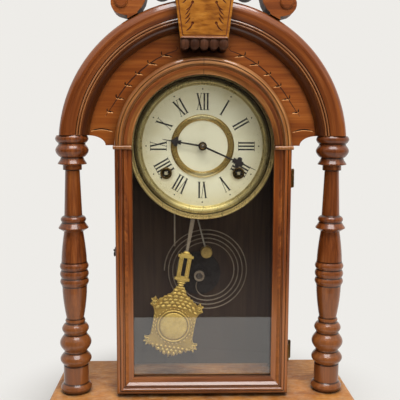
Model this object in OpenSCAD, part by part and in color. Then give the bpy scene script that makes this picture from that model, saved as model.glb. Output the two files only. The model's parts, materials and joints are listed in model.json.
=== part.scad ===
// Column-and-arch mantel clock with a glazed door, pendulum and strike.
// Millimetres, +Z up, front towards -Y, origin on the table under the middle of the base.

/* [Base] */
// Distance from a column's axis to the end of the base board
base_over = 26.2; // [22:0.1:32]
// Depth of the base board
base_d = 120; // [116:1:150]
// Height of the base, from the table to the top of its board
base_h = 46; // [40:1:60]
// Thickness of the base board
board_t = 12; // [9:0.5:16]
// Thickness of the skirt boards under the base board
skirt_t = 12; // [9:0.5:16]
// How far the skirt's foot moulding stands out from its face
foot_out = 7; // [4:0.5:9]

/* [Columns] */
// Height of the column tops above the arch's centre
column_rise = 11; // [8:0.5:14]
// Distance of a column's axis from the middle of the clock
column_x = 133.8; // [130:0.1:140]
// Largest radius of a column, at its capital
column_r = 16.8; // [15:0.1:18]
// Distance of a column's axis behind the front edge of the base board
column_setback = 37.2; // [34:0.1:45]
// Radius of the tenon at each end of a column
tenon_r = 5; // [4:0.5:7]
// Length of the tenon at each end of a column
tenon_l = 7; // [4:0.5:9]

/* [Case] */
// Width of the case over its side boards
case_w = 177; // [170:1:182]
// Thickness of the side boards and the round hood
case_wall = 8; // [6:0.5:10]
// Height of the arch's centre above the base board
spring_h = 260; // [255:1:264]
// Thickness of the back board
back_t = 8; // [5:0.5:10]
// Thickness of the front panel between hood and arch
panel_t = 9; // [6:0.5:12]

/* [Arch and crest] */
// How far the arch's outer face stands outside the columns' axes
arch_over = 11.5; // [8:0.1:15]
// Width of the arch moulding, outside to inside
arch_w = 28.8; // [26:0.1:31]
// Depth of the arch moulding, front to back
arch_d = 33; // [28:0.5:36]
// Depth of the panel's face behind the front of the arch moulding
panel_set = 16; // [13:0.5:18]
// Width of the keystone at its lower end
key_w = 46.5; // [40:0.5:50]
// Height of the keystone
key_h = 73; // [66:1:80]
// How far the keystone stands out in front of the arch
key_out = 12; // [8:0.5:16]
// Thickness of a crest scroll, front to back
scroll_t = 22; // [14:0.5:24]
// Height of the moulded cap on the keystone
cap_h = 12; // [8:0.5:16]

/* [Door] */
// How far the door stands past the case on each side
door_over = 0.5; // [0:0.1:1.5]
// Thickness of the door
door_t = 16; // [14:0.5:18]
// Width of the door's stiles, rail and arched head
stile_w = 17.4; // [16:0.1:21]
// Gap between the door's lower edge and the base board
door_clear = 2.5; // [1:0.5:4]
// Distance of the door's face behind the front edge of the base board
door_setback = 16.5; // [14:0.5:20]
// Thickness of the door glass
glass_t = 2.5; // [2:0.1:3]
// Depth of the glass rebate into the door's frame
rebate = 3.6; // [2.5:0.1:5]
// Radius of a hinge knuckle
knuckle_r = 1.9; // [1.7:0.1:2.4]
// Length of a hinge
hinge_l = 17.6; // [14:0.1:24]
// Distance of the upper hinge's middle below the arch's centre
hinge_drop = 32; // [25:1:60]
// Height of the lower hinge's middle above the base board
hinge_low = 46; // [35:1:70]
// Height of the latch above the base board
latch_h = 152; // [120:1:180]

/* [Dial and hands] */
// Diameter of the visible dial
dial_d = 127; // [122:0.5:130]
// Outer diameter of the brass bezel
bezel_d = 143.7; // [140:0.1:146]
// Width of the flat rim outside the bezel
rim_w = 6; // [4:0.5:7]
// Outer diameter of the brass ring on the dial
ring_d = 67; // [60:0.5:70]
// Inner diameter of the brass ring on the dial
ring_bore = 53.5; // [46:0.5:56]
// Distance of the dial's face behind the front edges of the case
dial_setback = 21.6; // [18:0.1:23]
// Reach of the minute hand
minute_l = 61; // [54:0.5:63]
// Reach of the hour hand
hour_l = 42.7; // [36:0.5:46]
// Minutes past the hour that the hands show
show_minutes = 19; // [0:1:59]
// Hour that the hands show
show_hour = 9; // [0:1:11]

/* [Movement] */
// Distance of a winding arbor to the side of the dial's centre
wind_x = 38.4; // [36:0.1:41]
// Distance of a winding arbor below the dial's centre
wind_drop = 28.6; // [26:0.1:31]
// Thickness of the movement's plates
plate_t = 2; // [1.5:0.1:2.5]
// Space between the plates
plate_gap = 30; // [29.5:0.5:31]
// Distance from the dial's face to the front plate
plate_set = 14; // [13.5:0.1:16]
// Half the width of the plates
plate_x = 56; // [54:0.5:62]
// Depth of the wooden seats between movement and back board
seat_d = 9; // [6:0.5:14]

/* [Pendulum and strike] */
// Angle at which the pendulum stands, to the left
lean = 10.1; // [8:0.1:12]
// Length of the pendulum from its pivot to the middle of the bob's disc
pendulum_l = 241; // [232:0.5:246]
// Height of the pendulum's pivot above the dial's centre
pivot_up = 40; // [38:0.5:43]
// Diameter of the gong's wire
gong_wire = 2.4; // [1.8:0.1:2.8]
// Inner radius of the gong's coil
gong_r = 30.5; // [29.5:0.1:33]
// Step of the gong's coil from turn to turn
gong_step = 4.8; // [4:0.1:5.5]
// Turns of the gong's coil
gong_turns = 3.75; // [2.75:0.25:4]

/* [Hidden] */
$fn = 64;
running = 0.05;
seat = 0.02;
free = 0.3;
door_gap = 0.4;
sink = 0.5;
column_h = spring_h + column_rise;
base_w = 2 * (column_x + base_over);
arch_r = column_x + arch_over;
door_w = case_w + 2 * door_over;
hinge_top = spring_h - hinge_drop;
front_y = -base_d / 2;
back_y = base_d / 2;
spring_z = base_h + spring_h;
column_y = front_y + column_setback;
case_half = case_w / 2;
door_half = door_w / 2;
door_y = front_y + door_setback;
door_back = door_y + door_t;
door_z = base_h + door_clear;
opening_r = door_half - stile_w;
case_y = door_back + door_gap;
arch_y = column_y - column_r;
arch_in = arch_r - arch_w;
panel_y = arch_y + panel_set;
panel_lap = 7.5;
panel_r = arch_in + panel_lap;
arch_foot = column_rise;
dial_y = case_y + dial_setback;
dial_t = 1;
plate_y = dial_y + plate_set;
inner_y = plate_y + plate_t;
rear_y = inner_y + plate_gap;
seat_y = rear_y + plate_t;
back_in = seat_y + seat_d;

// Pendulum pivot, measured from the dial's centre
pivot = [11.3, pivot_up];
stud_r = 1.2;

// Wheel trains: tooth counts, modules and the places of their arbors from the dial's centre
great_n = 60;
great_m = 0.8;
second_pinion_n = 8;
second_n = 72;
second_m = 0.58;
third_pinion_n = 6;
third_n = 66;
third_m = 0.5;
escape_pinion_n = 6;
escape_n = 30;
escape_r = 12.5;
drive_n = 25;
centre_n = 23;
drive_m = 1;
strike_n = 60;
strike_m = 0.6;
fly_pinion_n = 6;
cannon_n = 12;
minute_n = 36;
minute_pinion_n = 10;
hour_n = 40;
minute_m = 0.7;
motion_gap = (cannon_n + minute_n) / 2 * minute_m;
hour_m = motion_gap * 2 / (minute_pinion_n + hour_n);
escape_drop = 20.5;
centre_at = [0, 0];
time_at = [wind_x, -wind_drop];
strike_at = [-wind_x, -wind_drop];
escape_at = pivot - [0, escape_drop];
second_at = meet(time_at, (great_n + second_pinion_n) / 2 * great_m,
                 centre_at, (drive_n + centre_n) / 2 * drive_m, -1);
third_at = meet(second_at, (second_n + third_pinion_n) / 2 * second_m,
                escape_at, (third_n + escape_pinion_n) / 2 * third_m, -1);
strike_second_at = strike_at + polar((great_n + second_pinion_n) / 2 * great_m, 80);
fly_at = strike_second_at + polar((strike_n + fly_pinion_n) / 2 * strike_m, 70);
minute_at = polar(motion_gap, 200);
hammer_at = [-30, -64];
arbor_r = 1.2;
pivot_r = 0.8;
wind_r = 2.4;
pipe_r = 2.2;

// Distances of the wheels behind the front plate
hour_level = 0.8;
minute_level = 3.1;
drive_level = 5.4;
third_level = 9;
second_level = 13.5;
ratchet_level = 16;
great_level = 18;
spring_level = 21.4;
wheel_t = 1.6;
front_level = -4;

// Gong: its middle and its boss from the dial's centre, and its plane from the back board
gong_at = [6.6, -143.7];
boss_at = gong_at + [-8.5, -5.5];
boss_r = 7;
gong_y = back_in - 13;
lead_r = 12;
gong_rings = 24;
gong_sides = 6;

// Plane geometry
function polar(r, a) = [r * cos(a), r * sin(a)];
function arc(c, r, a0, a1, n = 8) = [for (i = [0 : n]) c + polar(r, a0 + (a1 - a0) * i / n)];
function oval(c, rx, ry, a0, a1, n = 8) =
    [for (i = [0 : n]) let (a = a0 + (a1 - a0) * i / n) c + [rx * cos(a), ry * sin(a)]];
function volute(c, r0, r1, a0, a1, n = 10) =
    [for (i = [0 : n]) c + polar(r0 * pow(r1 / r0, i / n), a0 + (a1 - a0) * i / n)];
function mirror_x(pts) = [for (i = [len(pts) - 1 : -1 : 0]) [-pts[i][0], pts[i][1]]];
function bearing(p, q) = atan2(q[1] - p[1], q[0] - p[0]);
// Point at distance r0 from p and r1 from q, on the chosen side of the line from p to q
function meet(p, r0, q, r1, side) =
    let (d = norm(q - p), u = (q - p) / d, a = (r0 * r0 - r1 * r1 + d * d) / (2 * d))
    p + u * a + side * [-u[1], u[0]] * sqrt(r0 * r0 - a * a);

// A flat shape in the XZ plane, from y0 back to y1
module slab(y0, y1) {
    translate([0, y1, 0])
        rotate([90, 0, 0])
            linear_extrude(y1 - y0)
                children();
}

// A profile of [radius, Y] turned about the Y axis
module turn_y(pts, a = 360, fn = 128) {
    rotate([90, 0, 0])
        rotate_extrude(angle = a, $fn = fn)
            polygon([for (p = pts) [p[0], -p[1]]]);
}

// A straight round rod between two points
module rod(p, q, r, fn = 24) {
    d = q - p;
    translate(p)
        rotate([0, acos(d[2] / norm(d)), atan2(d[1], d[0])])
            cylinder(r = r, h = norm(d), $fn = fn);
}

module at_dial() { translate([0, 0, spring_z]) children(); }
module at_place(p) { translate([p[0], 0, p[1]]) children(); }
module both_sides() {
    children();
    mirror([1, 0, 0]) children();
}

// Base: a board with a stepped and rounded edge at the front and sides
edge_step = 1.2;
edge_in = 5;
edge_under = 2;
edge_nose = board_t * 0.42;
function board_edge(half) = concat(
    [[-half + edge_in, board_t]],
    oval([-half + edge_in, board_t - edge_step - edge_nose], edge_in, edge_nose, 90, 180),
    [[-half + edge_under, 0]]);
module base_board() {
    color("peru")
    difference() {
        translate([0, 0, base_h - board_t])
        intersection() {
            rotate([90, 0, 0])
                linear_extrude(base_d, center = true)
                    polygon(concat(board_edge(base_w / 2), mirror_x(board_edge(base_w / 2))));
            rotate([90, 0, 90])
                linear_extrude(base_w, center = true)
                    polygon(concat(board_edge(base_d / 2), [[back_y, 0], [back_y, board_t]]));
        }
        for (s = [-1, 1])
            translate([s * column_x, column_y, base_h - tenon_l - free])
                cylinder(r = tenon_r + running, h = tenon_l + 1);
    }
}

skirt_h = base_h - board_t;
skirt_in = 9;
function skirt_profile() = concat(
    [[foot_out, skirt_h], [foot_out, 13]],
    oval([0, 13], foot_out, 5, 0, -90),
    [[0, 0], [skirt_t + foot_out, 0], [skirt_t + foot_out, skirt_h]]);
module skirt_run(width) {
    rotate([90, 0, 90])
        linear_extrude(width, center = true)
            polygon(skirt_profile());
}
module base_skirt_front() {
    w = base_w / 2 - skirt_in + foot_out;
    d = skirt_t + foot_out;
    color("sienna")
    intersection() {
        translate([0, front_y + skirt_in - foot_out, 0]) skirt_run(2 * w);
        translate([0, front_y + skirt_in - foot_out, 0])
            linear_extrude(base_h)
                polygon([[-w, 0], [w, 0], [w - d, d], [-w + d, d]]);
    }
}
module base_skirt_sides() {
    w = base_w / 2 - skirt_in + foot_out;
    d = skirt_t + foot_out;
    y0 = front_y + skirt_in - foot_out;
    color("sienna")
    both_sides()
    intersection() {
        translate([-w, 0, 0]) rotate([0, 0, -90]) skirt_run(base_d * 2);
        linear_extrude(base_h)
            polygon([[-w, y0], [-w + d, y0 + d], [-w + d, back_y], [-w, back_y]]);
    }
}
module base_back_rail() {
    w = base_w / 2 - skirt_in - skirt_t;
    color("saddlebrown")
    translate([-w, back_y - skirt_t, 0]) cube([2 * w, skirt_t, skirt_h]);
}

// Columns: a turned profile of [radius, share of the height], written at a height of 271
function bead(z0, z1, r0, rm, n = 8) =
    [for (i = [0 : n]) [r0 + (rm - r0) * sin(180 * i / n), z0 + (z1 - z0) * i / n]];
function column_profile(r) = concat(
    bead(0, 10, r - 3.4, r - 0.6), [[r - 3.8, 10.5], [r - 3.8, 29]],
    bead(30, 42.5, r - 4.4, r - 0.5), [[r - 5, 43.8]],
    bead(45.5, 62, r - 4.6, r - 0.4), [[r - 4.9, 63.3]],
    bead(64.4, 73.5, r - 5, r - 2.8), [[r - 7, 75]],
    bead(75.5, 79, r - 7, r - 6.4, 4),
    [for (i = [0 : 6]) [r - 4 - 3.7 * pow(1 - i / 6, 1.7), 80.5 + 33 * i / 6]],
    bead(115.8, 123, r - 3.4, r - 2), bead(123.6, 131.4, r - 3.3, r - 2),
    bead(132, 139.2, r - 3.4, r - 2),
    [for (i = [0 : 6]) [r - 3.7 - 3.3 * pow(i / 6, 1.5), 141 + 31 * i / 6]],
    [[r - 1.5, 175.6], [r - 1.5, 176.4], [r - 4.3, 180.6], [r - 4.8, 181.6]],
    bead(182, 187.4, r - 5, r - 3.8), [[r - 7.6, 189], [r - 9.4, 235.4]],
    [[r - 7.2, 236], [r - 7.2, 240.6], [r - 2.2, 241.8], [r - 2.2, 242.8], [r - 4.6, 246.4]],
    [[r - 5.3, 248.4]], bead(250, 261.6, r - 3, r, 10), [[r - 3.1, 263]],
    bead(264.2, 271, r - 1.6, r));
module column() {
    k = column_h / 271;
    profile = [for (p = column_profile(column_r)) [p[0], p[1] * k]];
    color("saddlebrown")
    translate([column_x, column_y, base_h])
        rotate_extrude($fn = 96)
            polygon(concat([[0, -tenon_l], [tenon_r, -tenon_l], [tenon_r, 0]], profile,
                [[tenon_r, column_h], [tenon_r, column_h + tenon_l], [0, column_h + tenon_l]]));
}
module column_left() { mirror([1, 0, 0]) column(); }
module column_right() { column(); }

// Case
module case_sides() {
    color("saddlebrown")
    both_sides()
    translate([case_half - case_wall, case_y, base_h])
        cube([case_wall, back_in - case_y, spring_h]);
}
module case_hood() {
    color("saddlebrown")
    at_dial()
    slab(case_y, back_in)
    difference() {
        circle(r = case_half, $fn = 128);
        circle(r = case_half - case_wall, $fn = 128);
        translate([-base_w, -base_w * 2]) square(base_w * 2);
    }
}
module back_board() {
    color("#3a2416")
    at_dial()
    slab(back_in, back_in + back_t) {
        translate([-case_half, -spring_h]) square([case_w, spring_h]);
        circle(r = case_half, $fn = 128);
    }
}

// The panel's lower edge steps up in a hollow to the column on each side
module front_panel() {
    low = 1;
    tongue = 11;
    hollow_x = column_x - column_r;
    hollow_w = hollow_x - case_half - tongue;
    color("peru")
    at_dial()
    slab(panel_y, panel_y + panel_t)
    difference() {
        circle(r = panel_r, $fn = 160);
        circle(r = case_half + seat, $fn = 128);
        translate([-base_w, low - base_w]) square([2 * base_w, base_w]);
        for (s = [-1, 1])
            polygon(concat([[s * hollow_x, low - 1], [s * base_w, low - 1], [s * base_w, arch_foot]],
                [for (p = oval([hollow_x, low], hollow_w, arch_foot - low, 90, 180)) [s * p[0], p[1]]]));
    }
}
module arch_moulding() {
    color("sienna")
    difference() {
        at_dial()
        difference() {
            turn_y(arch_outline(), 180, 192);
            translate([-base_w, -base_w, -base_w + arch_foot]) cube([base_w * 2, base_w * 2, base_w]);
        }
        for (s = [-1, 1])
            translate([s * column_x, column_y, base_h + column_h - 1])
                cylinder(r = tenon_r + running, h = tenon_l + 1 + free);
    }
}
// Face of the arch from the outside in: broad round, two beads, deep hollow, rebate for the panel
function arch_outline() = let (o = arch_r, i = arch_in, y = arch_y, p = panel_y) concat(
    [[panel_r, y + arch_d], [o, y + arch_d], [o, y + 6]],
    oval([o - 8, y + 6], 8, 6, 0, -90, 6),
    [[o - 13, y + 0.7], [o - 16.6, y + 2.6], [o - 17, y + 4]],
    oval([o - 18.2, y + 4], 1.2, 1.6, 0, -180, 4),
    oval([o - 20.6, y + 4.8], 1.1, 1.4, 0, -180, 4),
    [[o - 21.7, y + 6.2]],
    [for (a = [15 : 15 : 90]) [i + (o - 21.7 - i) * (1 - sin(a)), y + 6.2 + (p - y - 6.2) * (1 - cos(a))]],
    [[panel_r, p]]);

// Crest
key_gap = 5;
drop_h = 10.6;
drop_n = 5;
key_z = door_half + key_gap + drop_h;
key_flare = 0.127;
function key_half(z) = key_w / 2 + key_flare * (z - key_z);
module key_shape(z0, z1) {
    polygon([[-key_half(z0), z0], [key_half(z0), z0], [key_half(z1), z1], [-key_half(z1), z1]]);
}
module keystone() {
    top = key_z + key_h;
    drop_r = key_w / 2 / drop_n;
    color("goldenrod")
    at_dial() {
        slab(arch_y - key_out, arch_y) key_shape(key_z, top);
        slab(arch_y - sink, panel_y)
            intersection() {
                key_shape(key_z, arch_in + 10);
                circle(r = arch_in - seat, $fn = 160);
            }
        slab(arch_y - sink, arch_y + scroll_t)
            difference() {
                key_shape(arch_r - 10, top);
                circle(r = arch_r + seat, $fn = 192);
            }
        slab(arch_y - key_out + 2, panel_y)
            for (i = [0 : drop_n - 1])
                translate([(2 * i - drop_n + 1) * drop_r, key_z]) {
                    translate([-drop_r, -drop_h + drop_r]) square([2 * drop_r, drop_h - drop_r]);
                    translate([0, -drop_h + drop_r]) circle(r = drop_r, $fn = 24);
                }
    }
}
// Outline of the right-hand scroll: a small volute by the keystone, a neck and a large outer volute
foot_angle = 61.2;
function scroll_outline() =
    let (foot = polar(arch_r, foot_angle), a = foot + [11, 13.9], b = foot + [-27, 27.7])
    concat(
        volute(b, 8.6, 12, 340, 180, 9), volute(b, 12, 21, 180, 40, 9),
        volute(a, 10.5, 8, 128, 90, 3), volute(a, 8, 12.5, 90, -90, 10),
        volute(a, 12.5, 25.7, -90, -194, 7),
        [b + [10, 4]]);
module crest_scroll() {
    foot = polar(arch_r, foot_angle);
    eyes = [[foot + [11, 13.9], 6.4], [foot + [-27, 27.7], 5.2]];
    eye_out = 2.4;
    y0 = arch_y + 1;
    color("sienna")
    at_dial() {
        slab(y0, y0 + scroll_t)
            difference() {
                union() {
                    polygon(scroll_outline());
                    polygon([foot + [-5, 0], foot + [5, -3], foot + [5, 6], foot + [-5, 6]]);
                }
                circle(r = arch_r + seat, $fn = 192);
            }
        for (e = eyes)
            at_place(e[0])
                turn_y([[0, y0 + sink], [e[1], y0 + sink], [e[1], y0 - eye_out * 0.5], [e[1] * 0.75, y0 - eye_out],
                        [0, y0 - eye_out]], 360, 48);
    }
}
module crest_scroll_right() { crest_scroll(); }
module crest_scroll_left() { mirror([1, 0, 0]) crest_scroll(); }
module crest_cap() {
    top = key_z + key_h;
    half = key_half(top);
    y0 = arch_y - key_out;
    y1 = arch_y + scroll_t;
    color("sienna")
    translate([0, 0, spring_z + top])
    intersection() {
        rotate([90, 0, 0])
            linear_extrude(base_d, center = true)
                polygon(concat([[half, 0]], oval([half, cap_h * 0.45], 4, cap_h * 0.45, -90, 0),
                    [[half + 4, cap_h * 0.7], [half * 0.5, cap_h], [-half * 0.5, cap_h],
                     [-half - 4, cap_h * 0.7]],
                    oval([-half, cap_h * 0.45], 4, cap_h * 0.45, 180, 270), [[-half, 0]]));
        rotate([90, 0, 90])
            linear_extrude(base_w, center = true)
                polygon(concat([[y1, 0], [y1, cap_h]], [[y0, cap_h]],
                    oval([y0, cap_h * 0.45], 4, cap_h * 0.45, 180, 270)));
    }
}

// Door: u runs from the frame's outer edge inwards, d from its face backwards
function door_profile() = concat(
    [[stile_w - rebate, door_t], [0, door_t], [0, 5]], oval([3.6, 5], 3.6, 4.4, 180, 270, 5),
    [[4, 1.6]], arc([5.8, 1.6], 1.6, 180, 360, 6), [[7.6, 2.8]],
    [[8.4, 2.8], [12, 4.3], [stile_w - 1.6, 5.3], [stile_w, 6]],
    [[stile_w, glass_d], [stile_w - rebate, glass_d]]);
glass_d = 10;
impost_h = 4;
impost_low = 2.7;
function frame_at_side() = [for (p = door_profile()) [-door_half + p[0], door_y + p[1]]];
module door_stile() {
    top = spring_z - impost_low;
    color("sienna")
    intersection() {
        translate([0, 0, door_z]) linear_extrude(top - door_z) polygon(frame_at_side());
        slab(door_y - 1, door_back + 1)
            polygon([[-door_half, door_z], [-opening_r, door_z + stile_w], [-opening_r, top],
                     [-door_half, top]]);
    }
}
module door_stile_left() { door_stile(); }
module door_stile_right() { mirror([1, 0, 0]) door_stile(); }
module door_bottom_rail() {
    color("sienna")
    intersection() {
        translate([0, 0, door_z])
            rotate([90, 0, 90])
                linear_extrude(door_w, center = true)
                    polygon([for (p = door_profile()) [door_y + p[1], p[0]]]);
        slab(door_y - 1, door_back + 1)
            polygon([[-door_half, door_z], [door_half, door_z], [opening_r, door_z + stile_w],
                     [-opening_r, door_z + stile_w]]);
    }
}
module door_arch() {
    low = impost_h - impost_low;
    color("sienna")
    at_dial()
    difference() {
        turn_y([for (p = door_profile()) [door_half - p[0], door_y + p[1]]], 180, 160);
        translate([-base_w, -base_w, -base_w + low]) cube([base_w * 2, base_w * 2, base_w]);
    }
}
module door_impost_beads() {
    out = 1;
    color("sienna")
    both_sides()
    translate([-door_half - out, 0, spring_z - impost_low]) {
        translate([0, door_y + 1, 0]) cube([stile_w + out, glass_d - 1, impost_h]);
        translate([0, door_y + glass_d, 0]) cube([stile_w - rebate + out, door_t - glass_d, impost_h]);
        translate([0, door_y + 1, impost_h / 2])
            rotate([0, 90, 0])
                cylinder(r = impost_h / 2, h = stile_w + out, $fn = 32);
    }
}
module arched(half, low) {
    translate([-half, low]) square([2 * half, -low]);
    intersection() {
        circle(r = half, $fn = 160);
        translate([-half, 0]) square(2 * half);
    }
}
glass_low = door_clear + stile_w - spring_h;
module door_glass() {
    fit = rebate - free;
    color("lightcyan", 0.3)
    at_dial()
    slab(door_y + glass_d, door_y + glass_d + glass_t)
        arched(opening_r + fit, glass_low - fit);
}
module glass_retainer() {
    fit = rebate - free;
    y0 = door_y + glass_d + glass_t;
    color("saddlebrown")
    at_dial()
    slab(y0, y0 + 2.6)
    difference() {
        arched(opening_r + fit, glass_low - fit);
        arched(opening_r + 0.4, glass_low - 0.4);
    }
}

// Butt hinges on the right-hand edge: case knuckles outside, door knuckle between them
hinge_x = door_half + 3;
hinge_y = door_back + door_gap / 2;
pin_r = 1;
leaf_t = 1.2;
leaf_w = 12;
knuckle_l = hinge_l / 3;
module at_hinges() {
    for (z = [hinge_top, hinge_low]) translate([hinge_x, hinge_y, base_h + z]) children();
}
module hinge_case_leaves() {
    color("#4a3418")
    at_hinges()
    difference() {
        union() {
            for (z = [-1, 1])
                translate([0, 0, z * knuckle_l - knuckle_l / 2 + (z < 0 ? 0 : free)]) {
                    cylinder(r = knuckle_r, h = knuckle_l - free);
                    translate([case_half - hinge_x, 0.4, 0])
                        cube([hinge_x - case_half, leaf_t, knuckle_l - free]);
                }
            translate([case_half - hinge_x, 0.4, -hinge_l / 2]) cube([leaf_t, leaf_w, hinge_l]);
        }
        cylinder(r = pin_r + seat, h = hinge_l * 2, center = true);
    }
}
module hinge_door_leaves() {
    color("#4a3418")
    at_hinges()
    difference() {
        union() {
            translate([0, 0, -knuckle_l / 2]) cylinder(r = knuckle_r, h = knuckle_l);
            translate([door_half - hinge_x, -0.4 - leaf_t, -knuckle_l / 2])
                cube([hinge_x - door_half, leaf_t, knuckle_l]);
            translate([door_half - hinge_x, -0.4 - leaf_w, -hinge_l / 2])
                cube([leaf_t * 0.8, leaf_w, hinge_l]);
        }
        cylinder(r = pin_r + running, h = hinge_l * 2, center = true);
    }
}
module hinge_pins() {
    head = 0.8;
    color("#6b5326")
    at_hinges() {
        cylinder(r = pin_r, h = hinge_l + 1, center = true);
        for (z = [-1, 1])
            translate([0, 0, z * (hinge_l / 2 + head / 2 + 0.02)]) cylinder(r = pin_r + 0.5, h = head, center = true);
    }
}

// Hook latch on the left-hand side: it hangs from its screw and swings forward over the door's pin
latch_y = case_y + 8;
latch_z = base_h + latch_h;
hook_t = 1.2;
hook_l = latch_y - door_y - 7;
hook_pin_r = 1.2;
hook_w = 1.5;
hook_x = max(door_half, case_half) + free;
catch_r = 1;
module latch_screw() {
    color("#3b2f22")
    translate([-case_half, latch_y, latch_z])
        rotate([0, -90, 0]) {
            cylinder(r = 2.6, h = hook_x - case_half - free);
            cylinder(r = hook_pin_r, h = hook_x - case_half + hook_t + free);
            translate([0, 0, hook_x - case_half + hook_t + free]) cylinder(r = 2.6, h = 1);
        }
}
module latch_hook() {
    color("#3b2f22")
    translate([-hook_x, latch_y, latch_z])
        rotate([0, -90, 0])
            linear_extrude(hook_t)
                difference() {
                    union() {
                        circle(r = 3, $fn = 32);
                        translate([-hook_l - 3.6, -hook_w]) square([hook_l + 3.6, 2 * hook_w]);
                        translate([-hook_l - 3.6, -hook_w - 3.4]) square([2, 4]);
                        translate([-hook_l + 2.2, -hook_w - 2.2]) square([1.8, 3]);
                    }
                    circle(r = hook_pin_r + running, $fn = 32);
                }
}
module latch_pin() {
    color("#3b2f22")
    translate([-door_half, latch_y - hook_l, latch_z + hook_w + catch_r + free])
        rotate([0, -90, 0]) cylinder(r = catch_r, h = hook_t + 1);
}

// Dial
module wind_places() { for (s = [-1, 1]) at_place([s * wind_x, -wind_drop]) children(); }
grommet_r = 6.2;
grommet_bore = 4.2;
foot_places = [[44, 34], [-44, 34], [38, -46], [-38, -46]];
module dial_pan() {
    color("ivory")
    at_dial() {
        slab(dial_y, dial_y + dial_t)
        difference() {
            circle(r = dial_d / 2 + 2.4, $fn = 128);
            circle(r = 3.2);
            for (s = [-1, 1]) translate([s * wind_x, -wind_drop]) circle(r = grommet_r - 0.8);
        }
        for (p = foot_places)
            at_place(p)
                turn_y([[0, dial_y + sink], [1.5, dial_y + sink], [1.5, plate_y], [0, plate_y]], 360, 32);
    }
}
module dial_bezel() {
    o = bezel_d / 2;
    i = dial_d / 2;
    f = o + rim_w;
    y = dial_y;
    color("#b08d48")
    at_dial()
    turn_y(concat(
        [[i + 2.42, y + dial_t + 0.4], [f, y + dial_t + 0.4], [f, y - 0.2], [f - 0.9, y - 0.8], [o, y - 0.8]],
        [[o, y - 1.4], [o - 1.2, y - 2.2], [o - 1.6, y - 1.8]],
        [[o - 2, y - 2.6]], oval([o - 4.4, y - 3], 2.4, 2.8, 0, -180, 8),
        [[i + 1.6, y - 2.6], [i + 1.3, y - 1.6], [i, y - 1], [i, y - seat], [i + 2.42, y - seat]]));
}
module dial_centre_ring() {
    o = ring_d / 2;
    i = ring_bore / 2;
    y = dial_y - seat;
    color("#b08d48")
    at_dial()
    turn_y(concat([[i, y], [o, y], [o, y - 0.6]],
        oval([(o + i) / 2, y - 0.8], (o - i) / 2 - 0.5, 1.4, 0, -180, 8), [[i, y - 0.6]]));
}
module winding_grommets() {
    color("#7d6230")
    at_dial()
    wind_places()
        turn_y([[grommet_bore, dial_y - 1.3], [grommet_r - 1, dial_y - 1.3], [grommet_r, dial_y - 0.4],
                [grommet_r, dial_y - seat], [grommet_r - 0.8 - seat, dial_y - seat],
                [grommet_r - 0.8 - seat, dial_y + dial_t + 0.6], [grommet_bore, dial_y + dial_t + 0.6]],
               360, 48);
}

// Hands, drawn pointing up and then turned to the time shown
minute_turn = show_minutes * 6;
hour_turn = (show_hour + show_minutes / 60) * 30;
hour_y = dial_y - 5.1;
minute_y = dial_y - 8.1;
hand_t = 0.8;
module hand_shape(reach, lobe_at, lobe, bore) {
    difference() {
        union() {
            circle(r = bore + 2);
            polygon([[-1.1, 0], [1.1, 0], [0.8, lobe_at], [-0.8, lobe_at]]);
            for (a = [0, 90, 180]) translate([0, lobe_at] + polar(lobe * 0.75, a)) circle(r = lobe * 0.62, $fn = 24);
            polygon([[-lobe * 0.7, lobe_at - lobe * 1.5], [lobe * 0.7, lobe_at - lobe * 1.5],
                     [lobe * 0.35, lobe_at], [-lobe * 0.35, lobe_at]]);
            polygon([[-0.9, lobe_at], [0.9, lobe_at], [0.25, reach], [-0.25, reach]]);
        }
        circle(r = bore);
    }
}
module minute_hand() {
    color("#22252c")
    at_dial()
    rotate([0, minute_turn, 0])
        slab(minute_y, minute_y + hand_t) hand_shape(minute_l, minute_l - 20, 4.2, arbor_r + seat);
}
module hour_hand() {
    color("#22252c")
    at_dial()
    rotate([0, hour_turn, 0])
        slab(hour_y, hour_y + hand_t) hand_shape(hour_l, hour_l - 14.5, 3.6, pipe_r + seat);
}

// Toothed wheels: straight-flanked teeth with room to run
function tooth_points(n, m, phase) = let (p = 360 / n) [
    for (i = [0 : n - 1])
        for (q = [[-0.27, -1.1], [-0.11, 0.7], [0.11, 0.7], [0.27, -1.1]])
            polar(m * (n / 2 + q[1]), phase + (i + q[0]) * p)];
module toothed(n, m, phase, bore) {
    difference() {
        polygon(tooth_points(n, m, phase));
        circle(r = (bore + seat) / cos(15), $fn = 12);
        if (m * n > 20)
            for (a = [45 : 90 : 315])
                translate(polar(m * n * 0.29, a)) circle(r = m * n * 0.11, $fn = 12);
    }
}
module wheel(at, n, m, level, phase, bore = arbor_r, t = wheel_t) {
    at_place(at) slab(inner_y + level, inner_y + level + t) toothed(n, m, phase, bore);
}
module arbor(at, y0 = inner_y + free, y1 = rear_y - free) {
    at_place(at)
        turn_y([[0, y0 - free - plate_t], [pivot_r, y0 - free - plate_t], [pivot_r, y0], [arbor_r, y0],
                [arbor_r, y1], [pivot_r, y1], [pivot_r, y1 + free + plate_t], [0, y1 + free + plate_t]], 360, 32);
}
// Phase at which a gear has a tooth, or a gap, towards another arbor
function tooth_to(p, q) = bearing(p, q);
function gap_to(p, q, n) = bearing(p, q) + 180 / n;

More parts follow.
